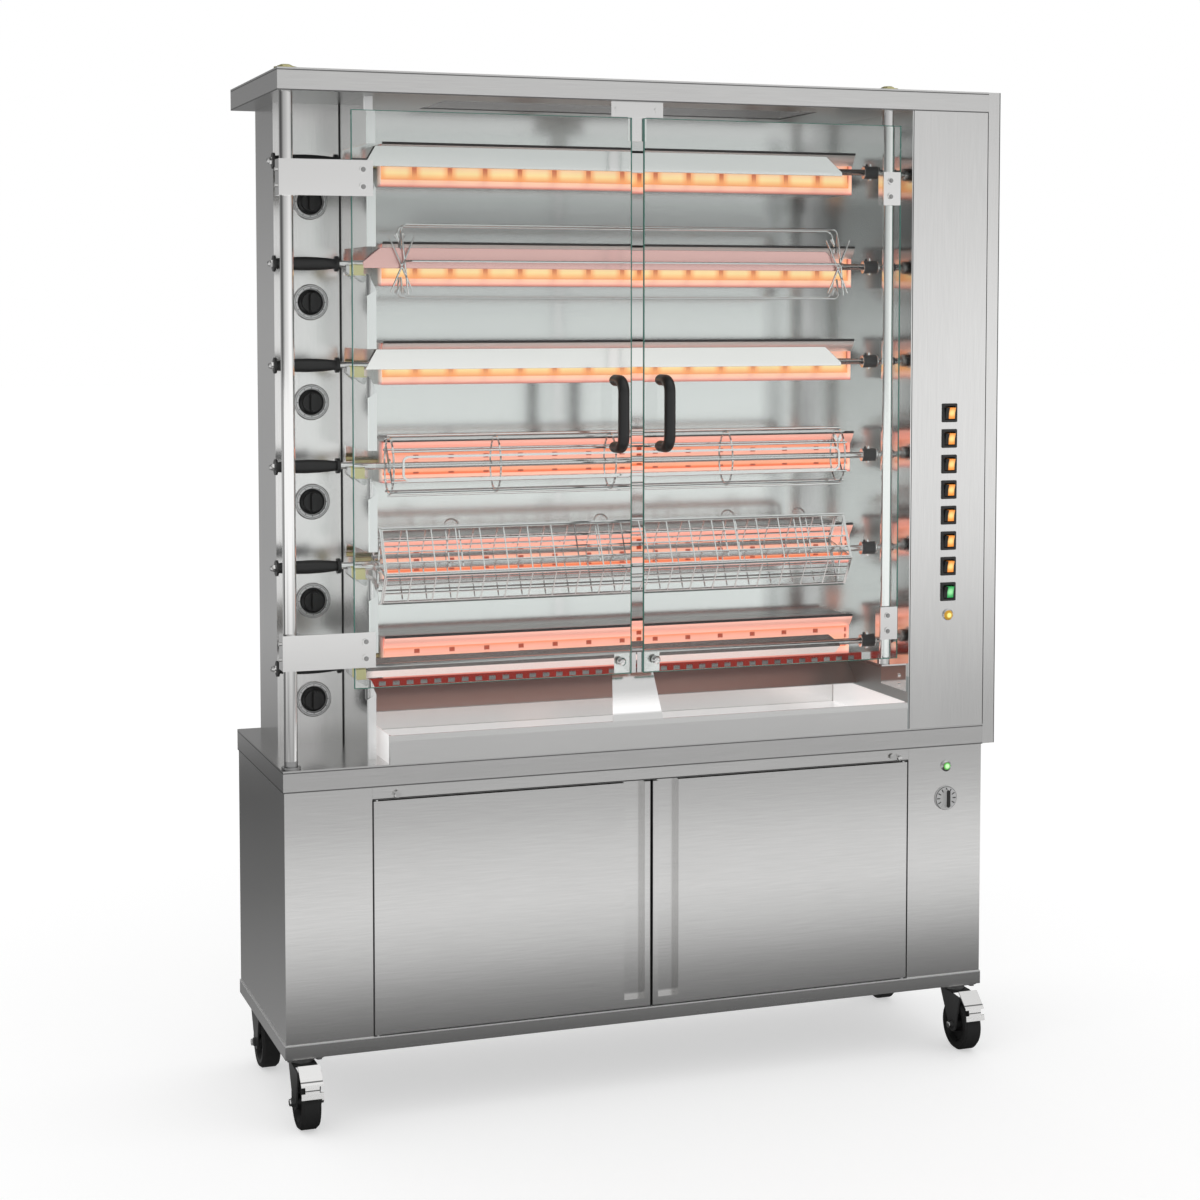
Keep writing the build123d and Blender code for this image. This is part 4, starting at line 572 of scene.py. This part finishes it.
def wheel_paint(n, x, y, z, values):
    """A dull tread round a smoother black wheel."""
    axle_z, front_axle, back_axle, tread_reach = 0.05, 0.004, 0.362, (0.0405, 0.0415)
    up = n.math("SUBTRACT", z, axle_z)
    front = round_distance(n, n.math("SUBTRACT", y, front_axle), up)
    back = round_distance(n, n.math("SUBTRACT", y, back_axle), up)
    tread = n.step(n.math("MINIMUM", front, back), *tread_reach)
    return overlay(n, values, tread, grey(0.018), 0.75, 0.0)


def pedal_paint(n, x, y, z, values):
    """Pressed ribs across a bright pedal, with painted shade in their corners."""
    upper_rib, lower_rib = (0.0985, 0.1005), (0.0845, 0.0865)
    rib_shade = n.most(n.inside(z, *upper_rib), n.inside(z, *lower_rib))
    return overlay(n, values, n.both(rib_shade, 0.85), grey(0.09), 0.3, 1.0)


def castor_top_paint(n, x, y, z, values):
    """Zinc-plated plates and races under the brushed cupboard, and a painted highlight along the plinth's
    top fold.
    """
    plate_top, fold_height = (0.1275, 0.1282), (0.1518, 0.1542)
    fold = n.both(n.inside(z, *fold_height), 0.8)
    values = overlay(n, values, fold, grey(0.97), 0.35, 0.6)
    return overlay(n, values, n.below(z, *plate_top), grey(0.33), 0.4, 0.9)


def glowing_plates():
    """Burner plates: hot ceramic with fine holes, a darker joint between plates."""
    material, n = new_material("glowing plates")
    coords, x, y, z = n.place()
    first_joint, plate_pitch, hole_scale = 0.226, 0.960 / 14, 420
    part = n.math("FRACT", n.math("DIVIDE", n.math("SUBTRACT", x, first_joint), plate_pitch))
    edge = n.both(n.math("MINIMUM", part, n.math("SUBTRACT", 1.0, part)), plate_pitch)
    rise = n.math("MULTIPLY_ADD", spit_distance(n, z), 20.0, 0.5)
    yellow = n.ramp(
        rise,
        [
            (0.0, linear("dc9a68")),
            (0.06, linear("f7b274")),
            (0.14, linear("fcc986")),
            (0.25, linear("fae0a0")),
            (0.38, linear("fad9a6")),
            (0.52, linear("f8c3a0")),
            (0.8, linear("f4b79f")),
            (1.0, linear("e09a86")),
        ],
    )
    pink = n.ramp(
        rise,
        [
            (0.0, linear("f26a3c")),
            (0.07, linear("f57f50")),
            (0.11, linear("fca883")),
            (0.35, linear("fcb597")),
            (0.62, linear("fbb2a0")),
            (0.72, linear("f9a98f")),
            (0.8, linear("f48f66")),
            (0.84, linear("f8aa98")),
            (1.0, linear("f3a99c")),
        ],
    )
    near_joint = n.below(edge, 0.004, 0.018)
    yellow = n.mix(n.both(near_joint, 0.7), yellow, linear("f79a58"))
    joint = n.both(n.below(edge, 0.0036, 0.0056), n.step(rise, 0.02, 0.3, 0.4, 1.0))
    joint_colour = n.mix(n.step(rise, 0.05, 0.55), linear("e59a60"), linear("b2573d"))
    yellow = n.mix(joint, yellow, joint_colour)
    upper_band, middle_band, lower_band = (n.inside(rise, low, high, 0.02) for low, high in BANDS)
    bands = n.math("ADD", upper_band, n.math("ADD", middle_band, lower_band), clamp=True)
    pink = n.mix(n.both(n.below(edge, 0.0045, 0.006), bands), pink, linear("9c3620"))
    glow = n.mix(n.below(z, *LOW_BURNERS), yellow, pink)
    cells = n.add("ShaderNodeTexVoronoi")
    cells.inputs["Scale"].default_value = hole_scale
    cells.inputs["Randomness"].default_value = 0.0
    n.join(coords, cells.inputs["Vector"])
    holes = n.step(cells.outputs["Distance"], 0.25, 0.34)
    strength = n.math("MULTIPLY_ADD", holes, 0.05, 0.9)
    strength = n.math("MULTIPLY_ADD", n.around(n.noise(coords, 30, detail=4)), 0.16, strength)
    ceramic = {"Base Color": (0.2, 0.1, 0.07), "Roughness": 0.85}
    n.principled(lit(ceramic, glow, strength), n.bump(holes, 0.5, 0.0008))
    return material


def clear_glass():
    """Clear toughened glass with faint wiping marks."""
    material, n = new_material("door glass")
    smear = n.noise(n.coords(), 6, (1, 1, 0.4), detail=5)
    pane = n.add("ShaderNodeBsdfPrincipled")
    n.join(n.mix(smear, (0.999, 1.0, 1.0), (0.988, 1.0, 0.995)), pane.inputs["Base Color"])
    n.join(n.step(smear, 0.55, 0.8, 0.0, 0.03), pane.inputs["Roughness"])
    pane.inputs["Transmission Weight"].default_value = 1.0
    pane.inputs["IOR"].default_value = 1.45
    pane.inputs["Specular IOR Level"].default_value = 0.15
    clear = n.add("ShaderNodeBsdfTransparent")
    clear.inputs["Color"].default_value = (0.97, 0.985, 0.98, 1)
    rays = n.add("ShaderNodeLightPath").outputs
    passing = n.most(rays["Is Shadow Ray"], rays["Is Diffuse Ray"], rays["Is Glossy Ray"])
    n.finish(n.mix_shader(passing, pane.outputs[0], clear.outputs[0]))
    return material


# Lowest and highest point of the two folded sheets, and the faint green of the chamber's steel
DECK_EDGES = (0.610, 0.650)
CANOPY_EDGES = (1.850, 1.890)
CHAMBER_TINT = (0.99, 1.0, 0.99)

FINISHES = {
    "cupboard": sheet_steel("brushed cupboard sheet", 0.72, 0.2, "x", 0.35, castor_top_paint),
    "doors": sheet_steel("brushed door sheet", 0.74, 0.19, "x", 0.35, door_paint),
    "body": sheet_steel("brushed body sheet", 0.74, 0.2, "z", 0.3, casing_paint),
    "deck": sheet_steel("brushed deck sheet", 0.66, 0.2, "x", 0.3, bend_shade_paint(*DECK_EDGES)),
    "canopy": sheet_steel("brushed canopy sheet", 0.72, 0.2, "x", 0.3, bend_shade_paint(*CANOPY_EDGES)),
    "control": sheet_steel("control panel sheet", 0.78, 0.2, "z", 0.3, panel_paint),
    "cavity": sheet_steel("bright chamber sheet", 0.86, 0.13, "x", 0.12, cavity_paint, CHAMBER_TINT),
    "burner": sheet_steel("burner channel", 0.7, 0.3, "x", 0.15, burner_paint),
    "plates": glowing_plates(),
    "posts": sheet_steel("polished posts", 0.86, 0.07, "z", 0.1, post_paint),
    "bright": sheet_steel("bright fittings", 0.84, 0.16, "x", 0.1),
    "zinc": sheet_steel("yellow zinc", 0.8, 0.3, "x", 0.15, None, ZINC_YELLOW),
    "cradles": sheet_steel("spit cradles", 0.6, 0.25, "z", 0.12, bearing_paint),
    "hoods": sheet_steel("burner hoods", 0.8, 0.2, "x", 0.12, hood_paint),
    "screws": sheet_steel("dome screws", 0.36, 0.1, "z", 0.1),
    "left_wall": sheet_steel("left chamber wall", 0.8, 0.16, "z", 0.15, flange_highlight_paint, CHAMBER_TINT),
    "studs": sheet_steel("crowned nuts", 0.85, 0.1, "z", 0.1),
    "pedals": sheet_steel("bright castor pedals", 0.82, 0.1, "x", 0.15, pedal_paint),
    "couplings": sheet_steel("coupling rings", 0.8, 0.16, "z", 0.1),
    # Painted highlight: the lowest blade is painted near white, with painted shade on its upper face.
    "blade_low": sheet_steel("lowest spit blade", 0.95, 0.2, "x", 0.1, low_blade_shade_paint),
    "spits": sheet_steel("polished spits", 0.8, 0.1, "x", 0.12, spit_paint),
    "tray": sheet_steel("bright tray sheet", 0.8, 0.18, "x", 0.2, tray_light_paint),
    "paint": moulded("grey motor paint", grey(0.09), 0.45),
    "black": moulded("black plastic", grey(0.016), 0.34, 0.004),
    "wheels": moulded("black wheels", grey(0.012), 0.42, 0.004, wheel_paint),
    "forks": moulded("dark fork coating", grey(0.05), 0.35, 0.008),
    "lamps": moulded("lamp rings", grey(0.02), 0.35, 0.004, lamp_paint),
    "dial": moulded("grey dial", grey(0.62), 0.35, 0.015, dial_paint),
    "amber": moulded("amber rocker", grey(0.014), 0.3, 0.004, rocker_paint("f0933c", "ffd98a")),
    "green": moulded("green rocker", grey(0.014), 0.3, 0.004, rocker_paint("35a056", "9be8a4")),
    "glass": clear_glass(),
    "glass_edge": moulded("sawn glass edge", linear("3f7d70"), 0.25, 0.01),
    "blade": sheet_steel("spit blade", 0.78, 0.16, "x", 0.12),
    # Painted highlight: the third spit's blade is painted near white with a warm tint.
    "blade_highlit": sheet_steel("spit blade painted bright", 0.9, 0.2, "x", 0.1, None, (1.0, 0.97, 0.955)),
    "blade_pink": sheet_steel("blade lit by the burner", 0.85, 0.25, "x", 0.1, None, (1.0, 0.62, 0.58)),
}

NODE_FINISH = {
    "cupboard_carcass": "cupboard",
    "cupboard_front_frame": "doors",
    "cupboard_door_left": "doors",
    "cupboard_door_right": "doors",
    "base_deck": "deck",
    "canopy": "canopy",
    "outer_casing": "body",
    "control_panel": "control",
    "left_cavity_wall": "left_wall",
    "right_cavity_wall": "cavity",
    "cavity_back": "cavity",
    "burner_housings": "burner",
    "burner_ceramics": "plates",
    "switch_panel": "body",
    "right_side_cover": "body",
    "door_posts": "posts",
    "door_stops": "bright",
    "spit_bearings": "cradles",
    "rocker_housings": "black",
    "indicator_lamps": "lamps",
    "gear_motors": "paint",
    "gas_manifold": "zinc",
    "drip_tray": "tray",
    "thermostat_dial": "dial",
}


def finish_of(node):
    """Which finish a CAD node gets."""
    for start, finish in (
        ("glass_pane", "glass"),
        ("glass_fittings", "bright"),
        ("glass_handle", "black"),
        ("gas_knob", "black"),
        ("rocker_8", "green"),
        ("rocker_", "amber"),
        ("spit_", "spits"),
        ("castor_fork", "forks"),
        ("castor_wheel", "wheels"),
        ("castor_pedal", "pedals"),
    ):
        if node not in NODE_FINISH and node.startswith(start):
            return finish
    return NODE_FINISH[node]


def fresh():
    """Back to object mode with nothing selected."""
    if bpy.context.mode != "OBJECT":
        bpy.ops.object.mode_set(mode="OBJECT")
    bpy.ops.object.select_all(action="DESELECT")


def only(piece):
    """Back to object mode with this piece selected alone."""
    fresh()
    piece.select_set(True)
    bpy.context.view_layer.objects.active = piece


def pick(piece, test):
    """In edit mode, selects the vertices that the test picks by their place."""
    if bpy.context.mode != "EDIT_MESH":
        bpy.ops.object.mode_set(mode="EDIT")
    bpy.ops.mesh.select_mode(type="VERT")
    mesh = bmesh.from_edit_mesh(piece.data)
    for vertex in mesh.verts:
        vertex.select_set(bool(test(vertex.co)))
    mesh.select_flush(True)
    bmesh.update_edit_mesh(piece.data)


def pick_all():
    bpy.ops.mesh.select_all(action="SELECT")


def carry_on(x, y, z):
    """Extrudes what is selected by a move in metres."""
    bpy.ops.mesh.extrude_region_move(TRANSFORM_OT_translate={"value": (x, y, z)})


def sized(shares, place=None):
    """Scales what is selected, about a place if one is given."""
    centre = {} if place is None else {"center_override": place}
    bpy.ops.transform.resize(value=shares, **centre)


def set_place():
    """Puts the object's place, turn and size into its mesh."""
    bpy.ops.object.transform_apply(location=True, rotation=True, scale=True)


def apply_modifier(piece, kind, **values):
    """Adds a modifier to the piece and applies it."""
    only(piece)
    modifier = piece.modifiers.new(kind.title(), kind)
    for name, value in values.items():
        setattr(modifier, name, value)
    bpy.ops.object.modifier_apply(modifier=modifier.name)


def settle(piece, name, finish, body, angle=35):
    """Gives a piece its place and finish, and hangs it on a body."""
    only(piece)
    set_place()
    bpy.ops.object.shade_smooth_by_angle(angle=radians(angle))
    piece.name = name
    piece.data.name = name
    piece.data.materials.clear()
    piece.data.materials.append(FINISHES[finish])
    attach(piece, body)
    return piece


def own_copy(piece, name):
    """A copy of an object with its own mesh, in edit mode and selected all over."""
    copy = bpy.data.objects.new(name, piece.data.copy())
    scene.collection.objects.link(copy)
    copy.data.name = name
    only(copy)
    bpy.ops.object.mode_set(mode="EDIT")
    pick_all()
    return copy


def repeated(piece, name, move, body):
    """A copy of a finished piece, moved by a vector and riding on its own body."""
    copy = own_copy(piece, name)
    bpy.ops.transform.translate(value=move)
    fresh()
    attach(copy, body)
    return copy


def round_bar(sides, radius, length, place, axis):
    """A cylinder along an axis, with its place in its mesh, in edit mode."""
    fresh()
    turn = {"X": (0, pi / 2, 0), "Y": (pi / 2, 0, 0), "Z": (0, 0, 0)}[axis]
    bpy.ops.mesh.primitive_cylinder_add(
        vertices=sides, radius=radius, depth=length, rotation=turn, location=place
    )
    set_place()
    bpy.ops.object.mode_set(mode="EDIT")
    return bpy.context.object


def folded_strip(x_range, start, folds, thickness):
    """A long folded sheet along the machine: from start, each fold carries its edge on by (y, z) in mm."""
    fresh()
    low, high = x_range
    bpy.ops.mesh.primitive_plane_add(size=1, location=at((low + high) / 2, *start))
    piece = bpy.context.object
    bpy.ops.object.mode_set(mode="EDIT")
    sized(((high - low) / 1000, 1, 1))
    pick(piece, lambda spot: spot.y < 0)
    bpy.ops.transform.translate(value=(0, 0.5, 0))
    pick(piece, lambda spot: spot.y > 0.2)
    first_y, first_z = folds[0]
    bpy.ops.transform.translate(value=(0, first_y / 1000 - 0.5, first_z / 1000))
    for fold_y, fold_z in folds[1:]:
        carry_on(0, fold_y / 1000, fold_z / 1000)
    apply_modifier(piece, "SOLIDIFY", thickness=thickness / 1000, offset=0.0)
    return piece


# Measures of the spits in mm: the axis behind the deck's front, and the blade along it
AXIS_Y = 110
BLADE_X = (168.3, 1118.0)
BLADE_SHEET = 1.6
BLADE_TOP = 29
BLADE_FOOT = -9
FAR_TAPER = 34
# Where each blade's near end is cut back to clear the wall, and the slope of the cut
STEEP_START = (192, (-0.863, 0, 0.505))
EVEN_START = (200, (-0.625, 0, 0.78))


def row_height(number):
    """A spit's height over the floor in mm."""
    return ROWS[number - 1] * 1000


def stripped_spit(number, drop):
    """A merged copy of a CAD spit without the vertices that drop picks, standing for the spit."""
    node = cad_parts[f"spit_{number}"]
    bar = own_copy(node, f"spit_bar_{number}")
    bpy.ops.mesh.remove_doubles(threshold=0.000001)
    pick(bar, drop)
    bpy.ops.mesh.delete(type="VERT")
    settle(bar, f"spit_bar_{number}", "spits", f"spit_{number}")
    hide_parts(f"spit_{number}")


def spit_blade(number, finish, near, start=(14, -7.5), folds=((-21.5, 0), (0, 5), (0, 31))):
    """The spit's angle section: a tall leg before the shaft, a short one under it, and cut ends."""
    row = row_height(number)
    near_x, near_slope = near
    blade = folded_strip(BLADE_X, (AXIS_Y + start[0], row + start[1]), folds, BLADE_SHEET)
    only(blade)
    set_place()
    bpy.ops.object.mode_set(mode="EDIT")
    for place, slope in (
        (at(BLADE_X[1] - FAR_TAPER, AXIS_Y, row + BLADE_TOP), (0.66, 0, 0.75)),
        (at(BLADE_X[1], AXIS_Y, row + BLADE_FOOT), (0.9, 0, -0.42)),
        (at(near_x, AXIS_Y, row + BLADE_TOP), near_slope),
    ):
        pick_all()
        bpy.ops.mesh.bisect(
            plane_co=place, plane_no=slope, use_fill=True, clear_outer=True, clear_inner=False
        )
    apply_modifier(blade, "BEVEL", width=0.0004, segments=1)
    settle(blade, f"spit_blade_{number}", finish, f"spit_{number}", angle=20)


def on_blade(spot):
    return LEFT + 0.1675 < spot.x < LEFT + 1.1165


def on_fork_blade(spot):
    """On the fork spit only what is near its axis is the blade."""
    blade_reach = 0.0272
    away = ((spot.y - FRONT - AXIS_Y / 1000) ** 2 + (spot.z - ROWS[1]) ** 2) ** 0.5
    return on_blade(spot) and away < blade_reach


def spits_with_blades():
    """The three plain spits and the fork spit."""
    for number, finish in ((1, "blade"), (3, "blade_highlit")):
        stripped_spit(number, on_blade)
        spit_blade(number, finish, STEEP_START)
    stripped_spit(6, on_blade)
    spit_blade(6, "blade_low", STEEP_START, (12, 14), ((-24, -21), (8, -7), (6, -6)))
    stripped_spit(2, on_fork_blade)
    spit_blade(2, "blade_pink", EVEN_START)


def fork_plates():
    """Flat needles that cross at each end of the fork spit and clamp on its blade."""
    plate_y, plate_size, point_share = 92, (0.0025, 0.008, 0.112), 0.35
    needles = ((24, 0), (-24, 4), (6, 8))
    for side, x in (("left", 236.0), ("right", 1105.0)):
        for number, (lean, shift) in enumerate(needles):
            fresh()
            bpy.ops.mesh.primitive_cube_add(size=1, location=at(x + shift, plate_y, row_height(2)))
            plate = bpy.context.object
            bpy.ops.object.mode_set(mode="EDIT")
            sized(plate_size)
            bpy.ops.mesh.subdivide(number_cuts=3)
            pick(plate, lambda spot: abs(spot.z) > 0.05)
            sized((1, point_share, 1))
            pick_all()
            bpy.ops.transform.rotate(
                value=radians(lean), orient_axis="Y", center_override=plate.location
            )
            apply_modifier(plate, "BEVEL", width=0.0005, segments=1, limit_method="ANGLE")
            settle(plate, f"fork_plate_{side}_{number}", "spits", "spit_2")


def burner_hoods():
    """A bright sheet over each burner that leans forward and ends in a folded edge."""
    hood_x, hood_back, over_row, hood_sheet = (226.5, 1185.5), 249.0, 18, 1.0
    folds = [(-12, 10), (-10, 11), (-1.5, 2.5), (3.5, 1.0), (1.5, -3)]
    for number in range(1, ROW_COUNT + 1):
        hood = folded_strip(hood_x, (hood_back, row_height(number) + over_row), folds, hood_sheet)
        settle(hood, f"burner_hood_{number}", "hoods", "machine_body", angle=25)


def dome_screw(x, y, z, facing, name, body):
    """A round screw head on a face at y; facing is -1 to the front and 1 to the back."""
    radius, rim = 0.0048, 0.0016
    steps = ((0.93, 0.0006), (0.84, 0.0007), (0.68, 0.0006), (0.45, 0.0003))
    screw = round_bar(24, radius, rim, at(x, y + facing * 0.4, z), "Y")
    crown = at(x, y + facing * 1.2, z)
    for shrink, rise in steps:
        pick(screw, lambda spot: (spot.y - crown.y) * facing > -0.00001)
        carry_on(0, facing * rise, 0)
        crown = crown + Vector((0, facing * rise, 0))
        sized((shrink, 1, shrink), crown)
    return settle(screw, name, "screws", body, angle=40)


def hinge_screws():
    """Two dome screws hold each pane to its hinge plate, top and bottom."""
    plate_front, top = -0.8, 1715.0
    for side, x in (("left", 152.0), ("right", 1188.6)):
        body = f"glass_door_{side}"
        first = dome_screw(x, plate_front, top, -1, f"hinge_screw_{side}_1", body)
        for number, z in ((2, 1684.5), (3, 875.0), (4, 844.5)):
            move = (0, 0, (z - top) / 1000)
            repeated(first, f"hinge_screw_{side}_{number}", move, body)


def door_studs():
    """A crowned nut over the upper pivot of each cupboard door."""
    x, y, z = 208, -4.2, 596
    radius = 0.0066
    thick = 0.004
    stud = round_bar(6, radius, thick, at(x, y, z), "Y")
    crown = at(x, y - thick / 2 * 1000, z)
    pick(stud, lambda spot: spot.y < crown.y + 0.00001)
    bpy.ops.mesh.inset(thickness=0.0011)
    for shrink, rise in ((0.85, 0.0009), (0.6, 0.0007)):
        carry_on(0, -rise, 0)
        crown = crown + Vector((0, -rise, 0))
        sized((shrink, 1, shrink), crown)
    settle(stud, "door_stud_left", "studs", "machine_body", angle=30)
    repeated(stud, "door_stud_right", (0.994, 0, 0.001), "machine_body")


def rear_screws():
    """Screws that hold the back sheets of the oven and the cupboard."""
    oven_back, cupboard_back = 416.8, 437.8
    oven_x, oven_z = (80.0, 380.0, 700.0, 1020.0, 1360.0), (1820.0, 1250.0, 680.0)
    cupboard_x, cupboard_z = (40.0, 480.0, 920.0, 1360.0), (580.0, 180.0)
    spots = [(x, oven_back, z) for z in oven_z for x in oven_x]
    spots += [(x, cupboard_back, z) for z in cupboard_z for x in cupboard_x]
    first_spot = spots[0]
    first = dome_screw(*first_spot, 1, "rear_screw_1", "machine_body")
    for number, spot in enumerate(spots[1:], 2):
        move = tuple((there - here) / 1000 for there, here in zip(spot, first_spot))
        repeated(first, f"rear_screw_{number}", move, "machine_body")


def axle_nuts():
    """A six-sided nut on each end of every castor's axle."""
    radius, thick = 0.0068, 0.0044
    to_right, to_back, to_inner = 1.324, 0.358, 0.058
    nut = round_bar(6, radius, thick, at(9.0, 4, 50), "X")
    pick_all()
    bpy.ops.mesh.bevel(offset=0.0007, segments=2, affect="EDGES")
    body, slot = "castor_fork_front_left", "bright_sheet"
    settle(nut, "axle_nut_front_left_outer", "studs", body, angle=30)
    for end, shift_y in (("front", 0.0), ("back", to_back)):
        for side, shift_x in (("left", 0.0), ("right", to_right)):
            for place, across in (("outer", 0.0), ("inner", to_inner)):
                name = f"axle_nut_{end}_{side}_{place}"
                move = (shift_x + across, shift_y, 0)
                if name != nut.name:
                    repeated(nut, name, move, f"castor_fork_{end}_{side}")


def coupling_parts():
    """A bright six-sided ring and a locking pin at the end of each spit's coupling."""
    row = row_height(1)
    ring_x, ring_radius, ring_thick = 1197.5, 0.0125, 0.005
    pin_x, pin_radius, pin_length, head = 1181, 0.0022, 0.031, 0.0016
    ring = round_bar(6, ring_radius, ring_thick, at(ring_x, AXIS_Y, row), "X")
    pick_all()
    bpy.ops.mesh.bevel(offset=0.0008, segments=2, affect="EDGES")
    settle(ring, "coupling_ring_1", "couplings", "spit_1", angle=30)
    pin = round_bar(20, pin_radius, pin_length, at(pin_x, AXIS_Y, row), "Z")
    top = at(pin_x, AXIS_Y, row + pin_length / 2 * 1000)
    pick(pin, lambda spot: spot.z > top.z - 0.00001)
    carry_on(0, 0, 0)
    sized((1.7, 1.7, 1), top)
    carry_on(0, 0, head)
    sized((0.7, 0.7, 1), top)
    settle(pin, "coupling_pin_1", "couplings", "spit_1", angle=40)
    for number in range(2, ROW_COUNT + 1):
        move = (0, 0, ROWS[number - 1] - ROWS[0])
        for first, name in ((ring, "coupling_ring"), (pin, "coupling_pin")):
            repeated(first, f"{name}_{number}", move, f"spit_{number}")


def pane_edge(side, low, high):
    """The sawn blue-green edge that runs round a glass pane."""
    front, middle = 2.9, 1305
    height, overhang = 1.0306, 0.6
    width, depth = 0.0011, 0.0062
    fresh()
    centre = at((low + high) / 2, front, middle)
    bpy.ops.mesh.primitive_plane_add(size=1, rotation=(pi / 2, 0, 0), location=centre)
    rim = bpy.context.object
    bpy.ops.object.mode_set(mode="EDIT")
    sized(((high - low + overhang) / 1000, 1, height))
    bpy.ops.mesh.inset(thickness=width)
    bpy.ops.mesh.delete(type="FACE")
    pick_all()
    carry_on(0, depth, 0)
    pick_all()
    bpy.ops.mesh.normals_make_consistent(inside=False)
    settle(rim, f"pane_edge_{side}", "glass_edge", f"glass_door_{side}")


def studio_world():
    """White behind the object, plain light on it, and a graded room for metal to reflect."""
    world = bpy.data.worlds.new("studio")
    world.use_nodes = True
    scene.world = world
    n = Nodes(world.node_tree)
    x, y, z = n.apart(n.coords("Generated"))
    turn = n.math("DIVIDE", n.math("ARCTAN2", x, n.math("MULTIPLY", y, -1.0)), pi)
    side = n.ramp(
        n.math("MULTIPLY_ADD", turn, 0.5, 0.5),
        [
            (0.0, grey(0.4)),
            (0.09, grey(0.36)),
            (0.17, grey(0.12)),
            (0.25, grey(0.14)),
            (0.36, grey(0.6)),
            (0.5, grey(0.84)),
            (0.56, grey(1.0)),
            (0.64, grey(1.02)),
            (0.74, grey(0.66)),
            (0.84, grey(0.24)),
            (0.92, grey(0.46)),
            (1.0, grey(0.4)),
        ],
    )
    height = n.ramp(
        n.math("MULTIPLY_ADD", z, 0.5, 0.5),
        [
            (0.0, grey(0.8)),
            (0.48, grey(1.05)),
            (0.5, grey(1.05)),
            (0.54, grey(0.66)),
            (0.62, grey(0.6)),
            (0.8, grey(0.85)),
            (1.0, grey(0.95)),
        ],
    )
    room = n.mix(1.0, side, height, "MULTIPLY")
    rays = n.add("ShaderNodeLightPath").outputs
    shown = n.most(rays["Is Camera Ray"], rays["Is Transmission Ray"])
    colour = n.mix(rays["Is Glossy Ray"], grey(0.86), room)
    background = n.add("ShaderNodeBackground")
    n.join(n.mix(shown, colour, grey(1.0)), background.inputs["Color"])
    n.finish(background.outputs[0], "World")


def studio_floor():
    """A white floor that keeps the shadow and shows metal a floor graded by its distance in front."""
    floor_size, ramp_length, half_width = 80, 10.0, 0.9
    bpy.ops.object.select_all(action="DESELECT")
    bpy.ops.mesh.primitive_plane_add(size=floor_size)
    floor = bpy.context.object
    floor.name = "floor"
    material, n = new_material("floor")
    x, y = n.apart(n.coords())[:2]
    aside = n.math("SUBTRACT", n.math("ABSOLUTE", x), half_width)
    ahead = n.math("DIVIDE", n.most(n.math("SUBTRACT", FRONT, y), aside), ramp_length)
    level = n.ramp(
        ahead,
        [
            (0.0, grey(0.05)),
            (0.035, grey(0.1)),
            (0.065, grey(0.26)),
            (0.115, grey(0.88)),
            (0.165, grey(0.98)),
            (0.24, grey(0.44)),
            (0.3, grey(0.34)),
            (0.36, grey(0.46)),
            (0.6, grey(0.8)),
            (0.85, grey(1.08)),
            (1.0, grey(1.08)),
        ],
    )
    beyond = n.ramp(
        n.math("DIVIDE", y, ramp_length),
        [
            (0.0, grey(0.3)),
            (0.05, grey(0.26)),
            (0.15, grey(0.16)),
            (0.26, grey(0.11)),
            (0.31, grey(0.13)),
            (0.38, grey(0.3)),
            (0.6, grey(0.42)),
            (1.0, grey(0.4)),
        ],
    )
    rays = n.add("ShaderNodeLightPath").outputs
    paper = n.add("ShaderNodeBsdfDiffuse")
    paper.inputs["Color"].default_value = (*grey(0.62), 1)
    lift = n.add("ShaderNodeEmission")
    shown = n.most(rays["Is Camera Ray"], rays["Is Transmission Ray"])
    n.join(n.math("MULTIPLY", shown, 0.5), lift.inputs["Strength"])
    white = n.add("ShaderNodeAddShader")
    n.join(paper.outputs[0], white.inputs[0])
    n.join(lift.outputs[0], white.inputs[1])
    graded = n.add("ShaderNodeEmission")
    n.join(n.mix(n.step(y, -0.05, 0.25), level, beyond), graded.inputs["Color"])
    mirrored = n.both(rays["Is Glossy Ray"], n.math("SUBTRACT", 1.0, rays["Is Transmission Ray"]))
    n.finish(n.mix_shader(mirrored, white.outputs[0], graded.outputs[0]))
    floor.data.materials.append(material)


def photo_camera():
    """The camera at the photograph's place and angle."""
    data = bpy.data.cameras.new("camera")
    camera = bpy.data.objects.new("camera", data)
    scene.collection.objects.link(camera)
    camera.location = (-1.5170, -4.1290, 1.4663)
    camera.rotation_euler = Euler((radians(90 - 3.4534), 0, radians(-19.651)))
    data.sensor_width = 36
    data.lens = 68.0
    data.shift_x = -0.00235
    data.shift_y = -0.1273
    data.clip_end = 200
    scene.camera = camera


for node_name, node_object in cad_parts.items():
    for slot in node_object.material_slots:
        slot.material = FINISHES[finish_of(node_name)]

spits_with_blades()
fork_plates()
burner_hoods()
hinge_screws()
door_studs()
rear_screws()
axle_nuts()
coupling_parts()
pane_edge("left", 132.0, 659.75)
pane_edge("right", 684.25, 1212.0)

scene.view_settings.view_transform = "Standard"
studio_world()
studio_floor()
photo_camera()
